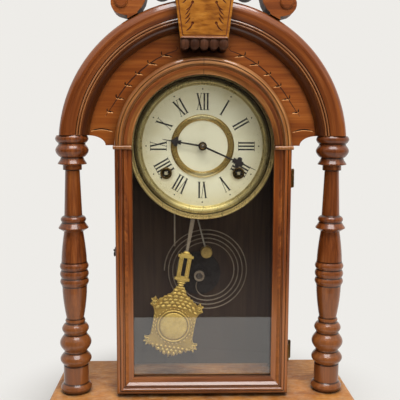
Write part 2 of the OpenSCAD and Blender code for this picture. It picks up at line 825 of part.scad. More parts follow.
module centre_arbor() {
    y0 = minute_y - 3;
    color("#8a8f96")
    at_dial() {
        turn_y([[0, y0], [arbor_r - running, y0], [arbor_r - running, rear_y - free],
                [pivot_r, rear_y - free], [pivot_r, rear_y + plate_t], [0, rear_y + plate_t]], 360, 32);
        wheel(centre_at, cannon_n, minute_m, minute_level, tooth_to(centre_at, minute_at));
        turn_y([[arbor_r, minute_y - 0.4], [2.9, minute_y - 0.4], [2.9, minute_y - 1.4], [2, minute_y - 2.4],
                [arbor_r, minute_y - 2.4]], 360, 32);
        turn_y([[arbor_r, minute_y + hand_t], [2.6, minute_y + hand_t], [2.6, minute_y + hand_t + 0.8],
                [arbor_r, minute_y + hand_t + 0.8]], 360, 32);
        turn_y([[arbor_r, minute_y - seat], [3.2, minute_y - seat], [3.2, minute_y - 0.38], [arbor_r, minute_y - 0.38]],
               360, 32);
    }
}
module hour_wheel() {
    color("#a8873f")
    at_dial() {
        turn_y([[arbor_r + running, hour_y - 0.6], [pipe_r, hour_y - 0.6],
                [pipe_r, inner_y + hour_level + wheel_t + 0.4], [arbor_r + running, inner_y + hour_level + wheel_t + 0.4]],
               360, 32);
        turn_y([[pipe_r, hour_y + hand_t], [4.6, hour_y + hand_t], [4.2, hour_y + hand_t + 1.2],
                [pipe_r, hour_y + hand_t + 1.2]], 360, 32);
        wheel(centre_at, hour_n, hour_m, hour_level, gap_to(centre_at, minute_at, hour_n), pipe_r);
    }
}
module minute_wheel() {
    color("#a8873f")
    at_dial() {
        wheel(minute_at, minute_n, minute_m, minute_level, gap_to(minute_at, centre_at, minute_n), 2.2);
        wheel(minute_at, minute_pinion_n, hour_m, hour_level - 0.1, tooth_to(minute_at, centre_at), arbor_r + 0.9,
              minute_level - hour_level + 0.08);
        at_place(minute_at)
            turn_y([[arbor_r + running, inner_y + hour_level - 0.1], [2.1, inner_y + hour_level - 0.1],
                    [2.1, inner_y + minute_level], [2.2, inner_y + minute_level],
                    [2.2, inner_y + minute_level + wheel_t], [arbor_r + running, inner_y + minute_level + wheel_t]],
                   360, 32);
    }
}

// Winding arbors with ratchets, and the great wheels that turn on them
square_w = 3.4;
ratchet_n = 16;
ratchet_r = 9;
module winding(at) {
    color("#8a8f96")
    at_dial() {
        at_place(at) {
            turn_y([[0, plate_y - 1.5], [wind_r - 0.2, plate_y - 1.5], [wind_r - 0.2, inner_y + free],
                    [wind_r, inner_y + free], [wind_r, rear_y - free], [wind_r - 0.2, rear_y - free],
                    [wind_r - 0.2, rear_y + plate_t], [0, rear_y + plate_t]], 360, 48);
            slab(dial_y - 0.8, plate_y - 1.5 - seat) square(square_w, center = true);
            slab(inner_y + ratchet_level, inner_y + ratchet_level + wheel_t)
                difference() {
                    polygon([for (i = [0 : ratchet_n - 1])
                                for (q = [[0, 1], [0.12, 0.82]]) polar(ratchet_r * q[1], (i + q[0]) * 360 / ratchet_n)]);
                    circle(r = (wind_r + seat) / cos(15), $fn = 12);
                }
        }
    }
}
module time_winding_arbor() { winding(time_at); }
module strike_winding_arbor() { winding(strike_at); }
module great(at, other) {
    hub = 4.2;
    y = inner_y + great_level;
    color("#a8873f")
    at_dial() {
        wheel(at, great_n, great_m, great_level, tooth_to(at, other), hub);
        at_place(at) {
            turn_y([[wind_r + running, y], [hub, y], [hub, y + wheel_t + 1], [wind_r + running, y + wheel_t + 1]],
                   360, 48);
            slab(inner_y + ratchet_level, y - seat)
                polygon([[ratchet_r + 0.6, -1], [ratchet_r + 4, -7], [ratchet_r + 7, -7], [ratchet_r + 6, -3],
                         [ratchet_r + 2.4, 1]]);
        }
    }
}
module time_great_wheel() { great(time_at, second_at); }
module strike_great_wheel() { great(strike_at, strike_second_at); }
module time_second_wheel() {
    color("#a8873f")
    at_dial() {
        arbor(second_at);
        wheel(second_at, second_n, second_m, second_level, tooth_to(second_at, third_at));
        wheel(second_at, drive_n, drive_m, drive_level, tooth_to(second_at, centre_at));
        wheel(second_at, second_pinion_n, great_m, great_level - 0.4, gap_to(second_at, time_at, second_pinion_n),
              arbor_r, wheel_t + 0.8);
    }
}
module time_third_wheel() {
    color("#a8873f")
    at_dial() {
        arbor(third_at);
        wheel(third_at, third_n, third_m, third_level, tooth_to(third_at, escape_at));
        wheel(third_at, third_pinion_n, second_m, second_level - 0.4, gap_to(third_at, second_at, third_pinion_n),
              third_core, wheel_t + 0.8);
    }
}
third_core = 0.9;
module escape_wheel() {
    y0 = plate_y + front_level;
    color("#a8873f")
    at_dial()
    at_place(escape_at) {
        turn_y([[0, y0], [pivot_r, y0], [pivot_r, inner_y + free], [arbor_r, inner_y + free],
                [arbor_r, inner_y + third_level - 1], [0.75, inner_y + third_level - 1],
                [0.75, rear_y + plate_t], [0, rear_y + plate_t]], 360, 32);
        slab(y0, y0 + wheel_t)
            difference() {
                polygon([for (i = [0 : escape_n - 1])
                            for (q = [[0, 1], [0.16, 0.84], [0.62, 0.84]])
                                polar(escape_r * q[1], (i + q[0]) * 360 / escape_n)]);
                circle(r = (pivot_r + seat) / cos(15), $fn = 12);
                for (a = [45 : 90 : 315]) translate(polar(escape_r * 0.48, a)) circle(r = escape_r * 0.22, $fn = 12);
            }
        slab(inner_y + third_level - 0.4, inner_y + third_level + wheel_t + 0.4)
            toothed(escape_pinion_n, third_m, gap_to(escape_at, third_at, escape_pinion_n), 0.75);
    }
}
module centre_wheel() {
    bush = 3;
    y = inner_y + drive_level;
    color("#a8873f")
    at_dial() {
        wheel(centre_at, centre_n, drive_m, drive_level, gap_to(centre_at, second_at, centre_n), bush);
        turn_y([[arbor_r + running, y], [bush, y], [bush, y + wheel_t + 1], [arbor_r + running, y + wheel_t + 1]],
               360, 32);
    }
}
module strike_second_wheel() {
    color("#a8873f")
    at_dial() {
        arbor(strike_second_at);
        wheel(strike_second_at, strike_n, strike_m, second_level, tooth_to(strike_second_at, fly_at));
        wheel(strike_second_at, second_pinion_n, great_m, great_level - 0.4,
              gap_to(strike_second_at, strike_at, second_pinion_n), arbor_r, wheel_t + 0.8);
    }
}
module strike_fly() {
    vane_w = 20;
    color("#a8873f")
    at_dial() {
        at_place(fly_at)
            turn_y([[0, plate_y], [pivot_r, plate_y], [pivot_r, inner_y + free], [third_core, inner_y + free],
                    [third_core, rear_y - free], [pivot_r, rear_y - free], [pivot_r, rear_y + plate_t],
                    [0, rear_y + plate_t]], 360, 32);
        wheel(fly_at, fly_pinion_n, strike_m, second_level - 0.4, gap_to(fly_at, strike_second_at, fly_pinion_n),
              third_core, wheel_t + 0.8);
        at_place(fly_at)
            slab(inner_y + drive_level - 3, inner_y + second_level - 2)
                difference() {
                    square([vane_w, 3], center = true);
                    translate([0, 1.2]) square([vane_w - 2, 1.2], center = true);
                    circle(r = (third_core + seat) / cos(15), $fn = 12);
                }
    }
}

// Plates, pillars and what holds the movement
plate_low = -72;
plate_room = 2.7;
plate_high = sqrt(pow(case_half - case_wall - plate_room, 2) - plate_x * plate_x);
// Lower corners of the plates are cut off, so that the dial hides them
plate_cut = 24;
plate_rise = 28;
pillar_low = [plate_x - 18, plate_low + 13.5];
pillar_places = [[plate_x - 5, plate_high - 5], [5 - plate_x, plate_high - 5],
                 pillar_low, [-pillar_low[0], pillar_low[1]]];
pillar_r = 3;
seat_h = 12;
seat_heights = [plate_low + plate_rise + 2.5, plate_high - 18];
arbor_places = [second_at, third_at, strike_second_at, fly_at, hammer_at];
module plate_shape() {
    difference() {
        polygon([[-plate_x, plate_high], [-plate_x, plate_low + plate_rise], [plate_cut - plate_x, plate_low],
                 [plate_x - plate_cut, plate_low], [plate_x, plate_low + plate_rise], [plate_x, plate_high]]);
        for (p = arbor_places) translate(p) circle(r = pivot_r + running, $fn = 24);
        for (p = [time_at, strike_at]) translate(p) circle(r = wind_r - 0.2 + running, $fn = 32);
        translate(escape_at) circle(r = pivot_r + running, $fn = 24);
        for (p = pillar_places) translate(p) circle(r = 1.6, $fn = 24);
        for (s = [-1, 1]) {
            translate([s * 19 - 9, plate_low + 10]) square([18, 16]);
            translate([s * 44 - 6, 2]) square([12, 26]);
        }
    }
}
lug_z = [-60, -57];
trip_at = [-29.6, plate_y - 3];
trip_r = 0.8;
module movement_front_plate() {
    color("#b59a55")
    at_dial() {
        slab(plate_y, inner_y)
            difference() {
                plate_shape();
                circle(r = pipe_r + running);
            }
        at_place(minute_at)
            turn_y([[0, inner_y - sink], [arbor_r, inner_y - sink], [arbor_r, inner_y + minute_level + wheel_t + 0.4],
                    [0, inner_y + minute_level + wheel_t + 0.4]], 360, 32);
        at_place(pivot)
            turn_y([[0, stud_front - 0.8], [2.2, stud_front - 0.8], [2.2, stud_front], [stud_r, stud_front],
                    [stud_r, plate_y + sink], [0, plate_y + sink]], 360, 32);
        difference() {
            translate([trip_at[0] - 3, trip_at[1] - 2.4, lug_z[0]]) cube([6, 5.4 + sink, lug_z[1] - lug_z[0]]);
            translate([trip_at[0], trip_at[1], lug_z[0] - 1]) cylinder(r = trip_r + running, h = 9, $fn = 24);
        }
    }
}
module movement_back_plate() {
    color("#b59a55")
    at_dial()
    slab(rear_y, seat_y)
        difference() {
            plate_shape();
            circle(r = pivot_r + running, $fn = 24);
        }
}
module plate_pillars() {
    color("#b59a55")
    at_dial()
    for (p = pillar_places)
        at_place(p)
            turn_y([[0, plate_y], [1.58, plate_y], [1.58, inner_y], [pillar_r, inner_y], [pillar_r, inner_y + 4],
                    [pillar_r - 0.8, inner_y + 6], [pillar_r - 0.8, rear_y - 6], [pillar_r, rear_y - 4],
                    [pillar_r, rear_y], [1.58, rear_y], [1.58, seat_y], [0, seat_y]], 360, 32);
}
module movement_seats() {
    color("saddlebrown")
    at_dial()
    for (z = seat_heights)
        translate([-plate_x - 9, seat_y, z - seat_h / 2]) cube([2 * plate_x + 18, back_in - seat_y, seat_h]);
}
// Pillar nuts in front, foot screws into the seats beside the back plate, and the gong's screw
module movement_fasteners() {
    color("#70757c")
    at_dial() {
        for (p = pillar_places)
            at_place(p) slab(plate_y - 2, plate_y - seat) circle(r = 3.2, $fn = 6);
        for (s = [-1, 1])
            for (z = seat_heights)
                at_place([s * (plate_x + 4.6), z])
                    turn_y([[0, seat_y - 3], [2.2, seat_y - 3], [3.4, seat_y - seat], [0, seat_y - seat]], 360, 32);
        at_place(boss_at)
            turn_y([[0, gong_front - 2.2], [2.4, gong_front - 2.2], [3.6, gong_front - 1.2], [5.4, gong_front - 1],
                    [5.4, gong_front - seat], [0, gong_front - seat]], 360, 32);
    }
}
// Spring strips coiled round the winding arbors
spring_turns = 6;
spring_in = 5;
spring_out = 22;
module mainsprings() {
    n = 20;
    thick = 0.7;
    r = [for (i = [0 : n * spring_turns]) spring_in + (spring_out - spring_in) * i / (n * spring_turns)];
    color("#5d6470")
    at_dial()
    for (p = [time_at, strike_at])
        at_place(p)
            slab(inner_y + spring_level, rear_y) {
                polygon(concat(
                    [for (i = [0 : len(r) - 1]) polar(r[i] + thick, i * 360 / n)],
                    [for (i = [len(r) - 1 : -1 : 0]) polar(r[i], i * 360 / n)]));
            }
}

// Pendulum, drawn hanging straight from its pivot, then leant
stud_front = plate_y - 9.5;
rod_y = plate_y - 7.5;
rod_t = 1.2;
module hung() {
    at_dial() at_place(pivot) rotate([0, lean, 0]) children();
}
strip_at = pendulum_l - 113;
frame_top = pendulum_l - 80;
module pendulum_rod() {
    color("#9a9890")
    hung()
    difference() {
        union() {
            slab(rod_y, rod_y + rod_t) circle(r = 3.2);
            slab(rod_y, rod_y + rod_t)
                polygon([[-1.1, 0], [1.1, 0], [1.1, -strip_at + 26], [2.3, -strip_at + 10], [2.3, -strip_at],
                         [1.3, -frame_top + 2], [1.3, -frame_top], [-1.3, -frame_top], [-1.3, -frame_top + 2],
                         [-2.3, -strip_at], [-2.3, -strip_at + 10], [-1.1, -strip_at + 26]]);
        }
        slab(rod_y - 1, rod_y + rod_t + 1) circle(r = stud_r + running);
    }
}
// Outline of the right half of the bob's plate, from its neck to its foot, about the disc's middle
function bob_half() = concat(
    [[4.6, 42.5], [6, 38.6]], arc([10.5, 38.5], 3.2, 150, -20, 5), [[15, 33]], arc([18.6, 31.6], 3, 150, 30, 4),
    arc([26, 23.4], 4.6, 110, -60, 6), [[24.6, 15], [23.4, 0], [24.6, -14]],
    arc([26, -20.4], 4.6, 60, -140, 6), [[18.6, -25]], arc([14, -26.4], 3.4, 30, -150, 5),
    [[7.6, -29]], arc([4.6, -31.4], 3.2, 40, -130, 5), [[0, -35.5]]);
bob_t = 4;
module pendulum_bob() {
    mid_y = rod_y + rod_t / 2;
    y0 = mid_y - bob_t / 2;
    y1 = mid_y + bob_t / 2;
    top = pendulum_l - frame_top;
    color("#c7a049")
    hung()
    translate([0, 0, -pendulum_l]) {
        slab(y0, y1) polygon(concat(bob_half(), mirror_x(bob_half())));
        turn_y([[0, y0 + sink], [16.4, y0 + sink], [16.4, y0 - 1.4], [15, y0 - 2], [13.8, y0 - 0.8], [8, y0 - 1.6], [0, y0 - 1.9]],
               360, 64);
        for (s = [-1, 1])
            translate([s * 5.4, mid_y, 53.5]) cylinder(r = 1.7, h = top - 54.5, $fn = 24);
        for (z = [53, top - 3])
            translate([-7.6, y0, z]) cube([15.2, bob_t, 3]);
        translate([0, mid_y, top - sink])
            rotate_extrude($fn = 32)
                polygon([[1.9, 0], [2.6, 0], [2.6, 2.2 + sink], [1.9, 3.4 + sink]]);
        translate([0, mid_y, 0])
            rotate_extrude($fn = 32)
                polygon([[0, 40], [4.4, 40], [4.6, 43], [3.2, 45], [4.9, 47.6], [3.4, 50], [5.6, 52], [5.6, 53.6],
                         [0, 53.6]]);
        translate([0, mid_y, 55.9])
            rotate_extrude($fn = 32)
                polygon([[0, 0], [2.6, 0], [2.6, 3.4], [1.1, 4.4], [1.1, 16], [0, 16]]);
    }
}
// Verge on the pendulum's axis, its crutch held to the rod by a fork, its pallets clear of the wheel
module verge() {
    y0 = plate_y + front_level;
    crutch_y = rod_y + rod_t + 0.8;
    crutch_t = 0.8;
    fork_l = 26;
    fork_x = 2;
    fork_pin = 0.6;
    color("#6f747b")
    hung()
    difference() {
        union() {
            slab(crutch_y, y0 + 2.4) circle(r = 3, $fn = 32);
            slab(y0, y0 + 2)
                polygon([[-2, 0], [-6.5, -5.2], [-5.6, -7.2], [-4.4, -6.6], [-1.2, -2.6], [1.2, -2.6], [4.4, -6.6],
                         [5.6, -7.2], [6.5, -5.2], [2, 0]]);
            slab(crutch_y, crutch_y + crutch_t)
                polygon([[-0.8, -2], [0.8, -2], [0.8, 1.4 - fork_l], [fork_x + 1.2, 1.4 - fork_l],
                         [fork_x + 1.2, -1.4 - fork_l], [-fork_x - 1.2, -1.4 - fork_l],
                         [-fork_x - 1.2, 1.4 - fork_l], [-0.8, 1.4 - fork_l]]);
            for (s = [-1, 1])
                at_place([s * fork_x, -fork_l])
                    turn_y([[0, rod_y - 0.5], [fork_pin, rod_y - 0.5], [fork_pin, crutch_y + 0.3],
                            [0, crutch_y + 0.3]], 360, 24);
        }
        slab(rod_y, plate_y) circle(r = stud_r + running, $fn = 32);
    }
}

// Gong: one round wire from its boss into an opening coil
gong_front = gong_y - 4;
function gong_path() = let (
    q = gong_at + [0, lead_r - gong_r],
    back = bearing(q, boss_at),
    d = norm(boss_at - q),
    a0 = back + acos(lead_r / d),
    t = q + polar(lead_r, a0),
    u = (t - boss_at) / norm(t - boss_at),
    rings = round(gong_rings * gong_turns))
    concat(
        [boss_at + u * (boss_r - 0.1), boss_at + u * (boss_r - 0.1 + gong_wire)],
        arc(q, lead_r, a0, 270, 6),
        [for (i = [1 : rings]) gong_at + polar(gong_r + gong_step * i / gong_rings, 270 + 360 * i / gong_rings)]);
module gong_coil() {
    path = gong_path();
    n = len(path);
    s = gong_sides;
    r = gong_wire / 2;
    points = [for (i = [0 : n - 1])
        let (t = path[min(i + 1, n - 1)] - path[max(i - 1, 0)], u = [-t[1], t[0]] / norm(t))
        for (k = [0 : s - 1])
            let (a = 360 * k / s, c = path[i] + u * r * cos(a)) [c[0], gong_y + r * sin(a), c[1]]];
    sides = [for (i = [0 : n - 2]) for (k = [0 : s - 1]) let (j = (k + 1) % s)
        each [[i * s + k, i * s + j, (i + 1) * s + k], [i * s + j, (i + 1) * s + j, (i + 1) * s + k]]];
    ends = [for (k = [1 : s - 2]) each [[0, k + 1, k], [(n - 1) * s, (n - 1) * s + k, (n - 1) * s + k + 1]]];
    gap = min([for (i = [0 : n - 1]) for (j = [i + 8 : 1 : n - 1]) norm(path[i] - path[j])]) - gong_wire;
    echo(gong_least_gap = gap);
    color("#59564f")
    at_dial() polyhedron(points, concat(sides, ends));
}
module gong_stand() {
    foot_r = 25;
    foot_t = 4;
    color("#26221e")
    at_dial()
    at_place(boss_at)
        turn_y([[0, gong_front], [boss_r - 0.8, gong_front], [boss_r - 0.15, gong_front + 0.8],
                [boss_r - 0.15, back_in - foot_t - 3], [boss_r + 3, back_in - foot_t], [foot_r, back_in - foot_t],
                [foot_r, back_in], [0, back_in]], 360, 64);
}

// Hammer: an arbor between the plates, a bent wire and a round head inside the coil
hammer_elbow = [-8, -66.5];
head_at = [6.2, -121.3];
head_r = 6.6;
wire_y = gong_y - 8;
module hammer() {
    wire = 0.9;
    color("#b08d48")
    at_dial() {
        arbor(hammer_at);
        at_place(hammer_at)
            turn_y([[0, wire_y - 2.5], [2.6, wire_y - 2.5], [2.6, wire_y + 2.5], [0, wire_y + 2.5]], 360, 32);
        rod([hammer_at[0], wire_y, hammer_at[1]], [hammer_elbow[0], wire_y, hammer_elbow[1]], wire);
        translate([hammer_elbow[0], wire_y, hammer_elbow[1]]) sphere(r = wire, $fn = 24);
        rod([hammer_elbow[0], wire_y, hammer_elbow[1]], [head_at[0], wire_y, head_at[1]], wire);
        at_place(head_at)
            turn_y([[0, wire_y - 2], [1.6, wire_y - 2], [1.6, wire_y - 1.4], [head_r - 0.8, wire_y - 1.4],
                    [head_r, wire_y - 0.6], [head_r, gong_y + 1.6], [head_r - 0.8, gong_y + 2.4],
                    [0, gong_y + 2.4]], 360, 48);
    }
}
module trip_wire() {
    color("#8a8f96")
    at_dial()
    translate([trip_at[0], trip_at[1], 0]) {
        translate([0, 0, -109]) cylinder(r = trip_r, h = 60, $fn = 24);
        translate([0, 0, lug_z[1] + free]) cylinder(r = 1.8, h = 1.6, $fn = 24);
    }
}

base_board();
base_skirt_front();
base_skirt_sides();
base_back_rail();
column_left();
column_right();
case_sides();
case_hood();
back_board();
front_panel();
arch_moulding();
keystone();
crest_scroll_left();
crest_scroll_right();
crest_cap();
hinge_case_leaves();
hinge_pins();
latch_screw();
movement_seats();
movement_back_plate();
movement_front_plate();
plate_pillars();
movement_fasteners();
mainsprings();
dial_pan();
dial_bezel();
dial_centre_ring();
winding_grommets();
gong_stand();
gong_coil();
door_stile_left();
door_stile_right();
door_bottom_rail();
door_arch();
door_impost_beads();
door_glass();
glass_retainer();
hinge_door_leaves();
latch_pin();
latch_hook();
minute_hand();
centre_arbor();
hour_hand();
hour_wheel();
minute_wheel();
time_winding_arbor();
time_great_wheel();
time_second_wheel();
time_third_wheel();
escape_wheel();
centre_wheel();
strike_winding_arbor();
strike_great_wheel();
strike_second_wheel();
strike_fly();
pendulum_rod();
pendulum_bob();
verge();
hammer();
trip_wire();
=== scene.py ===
"""Looks of a column-and-arch mantel clock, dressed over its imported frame.

The frame gives the solids, bodies and joints. This script gives them their finishes and
adds what is carved, printed, cast or wound. Sizes are in metres, and those in millimetres
are multiplied by MM. X runs to the right, Y to the back and Z up, from the middle of the
underside of the base.
"""

import json
import logging
import math
from collections.abc import Callable, Sequence
from dataclasses import dataclass
from enum import Enum

import bpy
from mathutils import Matrix, Vector

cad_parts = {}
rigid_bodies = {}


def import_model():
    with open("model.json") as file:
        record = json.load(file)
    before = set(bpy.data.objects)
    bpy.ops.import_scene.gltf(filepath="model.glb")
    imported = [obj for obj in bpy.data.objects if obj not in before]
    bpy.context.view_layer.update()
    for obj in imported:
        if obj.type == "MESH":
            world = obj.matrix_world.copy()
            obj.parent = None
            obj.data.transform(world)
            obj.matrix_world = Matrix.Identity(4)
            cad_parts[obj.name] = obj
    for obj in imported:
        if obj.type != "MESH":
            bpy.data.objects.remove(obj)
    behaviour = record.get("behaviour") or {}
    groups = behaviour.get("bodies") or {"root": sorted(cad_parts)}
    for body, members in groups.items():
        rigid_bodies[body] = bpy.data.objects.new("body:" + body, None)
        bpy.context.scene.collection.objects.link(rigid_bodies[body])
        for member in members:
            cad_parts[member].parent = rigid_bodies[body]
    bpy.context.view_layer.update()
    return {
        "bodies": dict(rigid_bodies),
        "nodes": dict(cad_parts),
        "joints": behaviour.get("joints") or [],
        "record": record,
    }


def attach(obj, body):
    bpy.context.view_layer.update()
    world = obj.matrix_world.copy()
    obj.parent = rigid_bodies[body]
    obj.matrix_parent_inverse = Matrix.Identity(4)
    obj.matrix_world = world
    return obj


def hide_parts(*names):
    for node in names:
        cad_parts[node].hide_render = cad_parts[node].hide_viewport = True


LOG = logging.getLogger("mantel_clock")
MM = 0.001
Flat = tuple[float, float]
Spot = tuple[float, float, float]
Colour = tuple[float, float, float, float]
Pair = tuple[Colour, Colour]
Socket = bpy.types.NodeSocket
BLACK: Colour = (0.0, 0.0, 0.0, 1.0)


def srgb(red: int, green: int, blue: int) -> Colour:
    """Turn a colour as it is seen on a screen into the linear colour that shaders use.

    Args:
        red, green, blue: levels from 0 to 255.

    Returns:
        The linear colour with full alpha.
    """
    def line(level: int) -> float:
        """Straighten one level."""
        part = level / 255
        return part / 12.92 if part <= 0.04045 else ((part + 0.055) / 1.055) ** 2.4
    return line(red), line(green), line(blue), 1.0


@dataclass(frozen=True)
class Places:
    """Places that several pieces are set by, taken from the part's own sizes.

    Attributes:
        dial_z: height of the dial's centre.
        dial_face, panel_face, key_face: Y of the front of the dial, the panel and the keystone.
        winding: how far a winding hole lies beside and below the dial's centre.
        pivot: X and Z of the pendulum's pivot.
        lean: angle of the pendulum at rest.
        case_inside: radius within which the case is bare.
        back_inside: Y before which the back board is bare.
        bend: radius at which the grain of bent wood keeps its length.
        column_foot: height of the columns' foot, in millimetres.
        column_creases: heights of their creases above the foot, in millimetres.
    """

    dial_z: float = 0.306
    dial_face: float = -0.0055
    panel_face: float = -0.0236
    key_face: float = -0.0516
    winding: Flat = (0.0384, 0.0286)
    pivot: Flat = (0.0113, 0.346)
    lean: float = math.radians(10.1)
    case_inside: float = 0.0835
    back_inside: float = 51.7 * MM
    bend: float = 0.105
    column_foot: float = 46.0
    column_creases: tuple[float, ...] = (
        10.3, 29.6, 43.8, 63.3, 75.0, 79.8, 114.8, 123.3, 131.7, 140.1, 181.7, 188.4, 235.7, 248.2, 263.1)

    def round_dial(self, radius: float, angle: float) -> Flat:
        """Give the X and Z of a point at a radius and an angle (degrees) round the dial."""
        turn = math.radians(angle)
        return radius * math.cos(turn), self.dial_z + radius * math.sin(turn)


PLACES = Places()


# Mesh work


class Draft:
    """Vertices and faces of one piece while it is drawn."""

    def __init__(self) -> None:
        """Start with nothing drawn."""
        self.points: list[Vector] = []
        self.faces: list[list[int]] = []

    def add(self, points: Sequence[Sequence[float]], faces: Sequence[Sequence[int]]) -> None:
        """Take in a closed shell.

        Args:
            points: its vertices.
            faces: its faces, as indices into points.
        """
        first = len(self.points)
        self.points += [Vector(p) for p in points]
        self.faces += [[first + i for i in face] for face in faces]

    def slab(self, outline: Sequence[Flat], front: float, back: float) -> None:
        """Draw a flat board with an outline in X and Z.

        Args:
            outline: the corners in order.
            front: Y of the face towards the viewer.
            back: Y of the face away from the viewer.
        """
        count = len(outline)
        turn = sum(
            a[0] * b[1] - b[0] * a[1] for a, b in zip(outline, [*outline[1:], outline[0]])
        )
        ring = list(outline) if turn > 0 else list(reversed(outline))
        points = [(x, front, z) for x, z in ring] + [(x, back, z) for x, z in ring]
        sides = [
            [i, i + count, (i + 1) % count + count, (i + 1) % count] for i in range(count)
        ]
        self.add(points, [list(range(count)), list(range(2 * count - 1, count - 1, -1)), *sides])

    def sweep(self, points: Sequence[Sequence[float]], sides: int) -> None:
        """Take in a shell that is drawn ring after ring, and close its ends.

        Args:
            points: the points of all rings in order.
            sides: points in one ring.
        """
        rows = len(points) // sides
        faces = [
            [i * sides + k, i * sides + (k + 1) % sides,
             (i + 1) * sides + (k + 1) % sides, (i + 1) * sides + k]
            for i in range(rows - 1) for k in range(sides)
        ]
        ends = [list(range(sides - 1, -1, -1)), list(range((rows - 1) * sides, rows * sides))]
        self.add(points, faces + ends)

    def tube(self, path: Sequence[Vector], radii: Sequence[float], sides: int = 12) -> None:
        """Draw a round wire along a path, with closed ends.

        Args:
            path: its centre line.
            radii: its radius at each point.
            sides: corners of its section.
        """
        count = len(path)
        ways = [
            (path[min(i + 1, count - 1)] - path[max(i - 1, 0)]).normalized() for i in range(count)
        ]
        side = ways[0].orthogonal().normalized()
        points: list[Vector] = []
        for here, way, radius in zip(path, ways, radii):
            side = (side - way * side.dot(way)).normalized()
            other = way.cross(side)
            for k in range(sides):
                turn = 2 * math.pi * k / sides
                points.append(here + (side * math.cos(turn) + other * math.sin(turn)) * radius)
        self.sweep(points, sides)

    def turned(self, centre: Vector, profile: Sequence[Flat], sides: int = 48) -> None:
        """Draw a turned piece whose axis points at the viewer.

        Args:
            centre: where the axis crosses the zero of the profile.
            profile: radius and distance towards the viewer, from the back to the front.
            sides: corners of its rounds.
        """
        least = 1e-6
        points: list[Spot] = []
        for radius, out in profile:
            for k in range(sides):
                turn = 2 * math.pi * k / sides
                points.append((centre.x + max(radius, least) * math.cos(turn), centre.y - out,
                               centre.z + max(radius, least) * math.sin(turn)))
        self.sweep(points, sides)

    def bead(self, centre: Vector, radii: Spot, tilt: float = 0.0, rows: int = 8, sides: int = 14) -> None:
        """Draw an egg-shaped bead.

        Args:
            centre: its middle.
            radii: half its size along its own X, Y and Z.
            tilt: turn about Y, in radians.
            rows, sides: how finely it is drawn.
        """
        spin = Matrix.Rotation(tilt, 3, "Y")
        points = []
        for i in range(1, rows):
            up = math.pi * i / rows
            for k in range(sides):
                turn = 2 * math.pi * k / sides
                own = Vector((radii[0] * math.sin(up) * math.cos(turn),
                              radii[1] * math.sin(up) * math.sin(turn),
                              radii[2] * math.cos(up)))
                points.append(centre + spin @ own)
        top, low = len(points), len(points) + 1
        points += [centre + spin @ Vector((0, 0, radii[2])), centre + spin @ Vector((0, 0, -radii[2]))]
        faces: list[list[int]] = [
            [i * sides + k, (i + 1) * sides + k,
             (i + 1) * sides + (k + 1) % sides, i * sides + (k + 1) % sides]
            for i in range(rows - 2) for k in range(sides)
        ]
        last = (rows - 2) * sides
        faces += [[top, k, (k + 1) % sides] for k in range(sides)]
        faces += [[low, last + (k + 1) % sides, last + k] for k in range(sides)]
        self.add(points, faces)

    def groove(self, path: Sequence[Flat], widths: Sequence[float], face: float,
               depth: float = 0.8, skew: float = 0.0) -> None:
        """Draw the wedge that cuts a V groove into a face that looks at the viewer.

        Args:
            path: X and Z of the line of the groove.
            widths: the groove's width at each point.
            face: Y of the face.
            depth: depth as a share of the width.
            skew: how far the bottom lies to the left of its way, as a share of half the width.
        """
        proud = 0.4 * MM
        count = len(path)
        points: list[Spot] = []
        for i, ((x, z), width) in enumerate(zip(path, widths)):
            ahead, behind = path[min(i + 1, count - 1)], path[max(i - 1, 0)]
            way = Vector((ahead[0] - behind[0], ahead[1] - behind[1])).normalized()
            deep = width * depth
            reach = width / 2 * (deep + proud) / deep
            slant = skew * width / 2
            points += [(x - way.y * reach, face - proud, z + way.x * reach),
                       (x + way.y * reach, face - proud, z - way.x * reach),
                       (x - way.y * slant, face + deep, z + way.x * slant)]
        self.sweep(points, 3)

    def moved(self, place: Matrix) -> "Draft":
        """Carry everything drawn so far to another place and give the draft back."""
        self.points = [place @ p for p in self.points]
        return self

    def piece(self, name: str, *finishes: bpy.types.Material, sharp: float = 40.0,
              second: int | None = None) -> bpy.types.Object:
        """Make the drawn piece into an object.

        Args:
            name: the piece's name.
            finishes: its materials.
            sharp: edges sharper than this angle (degrees) stay crisp.
            second: the face from which on the second material holds.

        Returns:
            The object, in the scene.
        """
        mesh = bpy.data.meshes.new(name)
        mesh.from_pydata([tuple(p) for p in self.points], [], self.faces)
        mesh.validate()
        mesh.shade_smooth()
        mesh.set_sharp_from_angle(angle=math.radians(sharp))
        for finish in finishes:
            mesh.materials.append(finish)
        if second is not None:
            for face in mesh.polygons:
                face.material_index = 1 if face.index >= second else 0
        made = bpy.data.objects.new(name, mesh)
        bpy.context.scene.collection.objects.link(made)
        return made


def taper(count: int, width: float, ends: tuple[float, float] = (0.12, 0.12)) -> list[float]:
    """Give the widths of a carved stroke that thins out at its ends.

    Args:
        count: number of points.
        width: width at the middle.
        ends: share of the width at the first and the last point.

    Returns:
        One width for each point.
    """
    widths = []
    for i in range(count):
        part = i / (count - 1)
        low = ends[0] + (ends[1] - ends[0]) * part
        widths.append(width * (low + (1 - low) * math.sin(math.pi * part) ** 0.6))
    return widths


def bow(start: Flat, end: Flat, sag: float, count: int = 7) -> list[Flat]:
    """Draw a shallow curve between two points.

    Args:
        start, end: its ends.
        sag: how far its middle stands off the straight line, to the left of its way.
        count: number of points.

    Returns:
        The points in order.
    """
    run = Vector((end[0] - start[0], end[1] - start[1]))
    left = Vector((-run.y, run.x)).normalized()
    points = []
    for i in range(count):
        part = i / (count - 1)
        here = Vector(start) + run * part + left * sag * 4 * part * (1 - part)
        points.append((here.x, here.y))
    return points


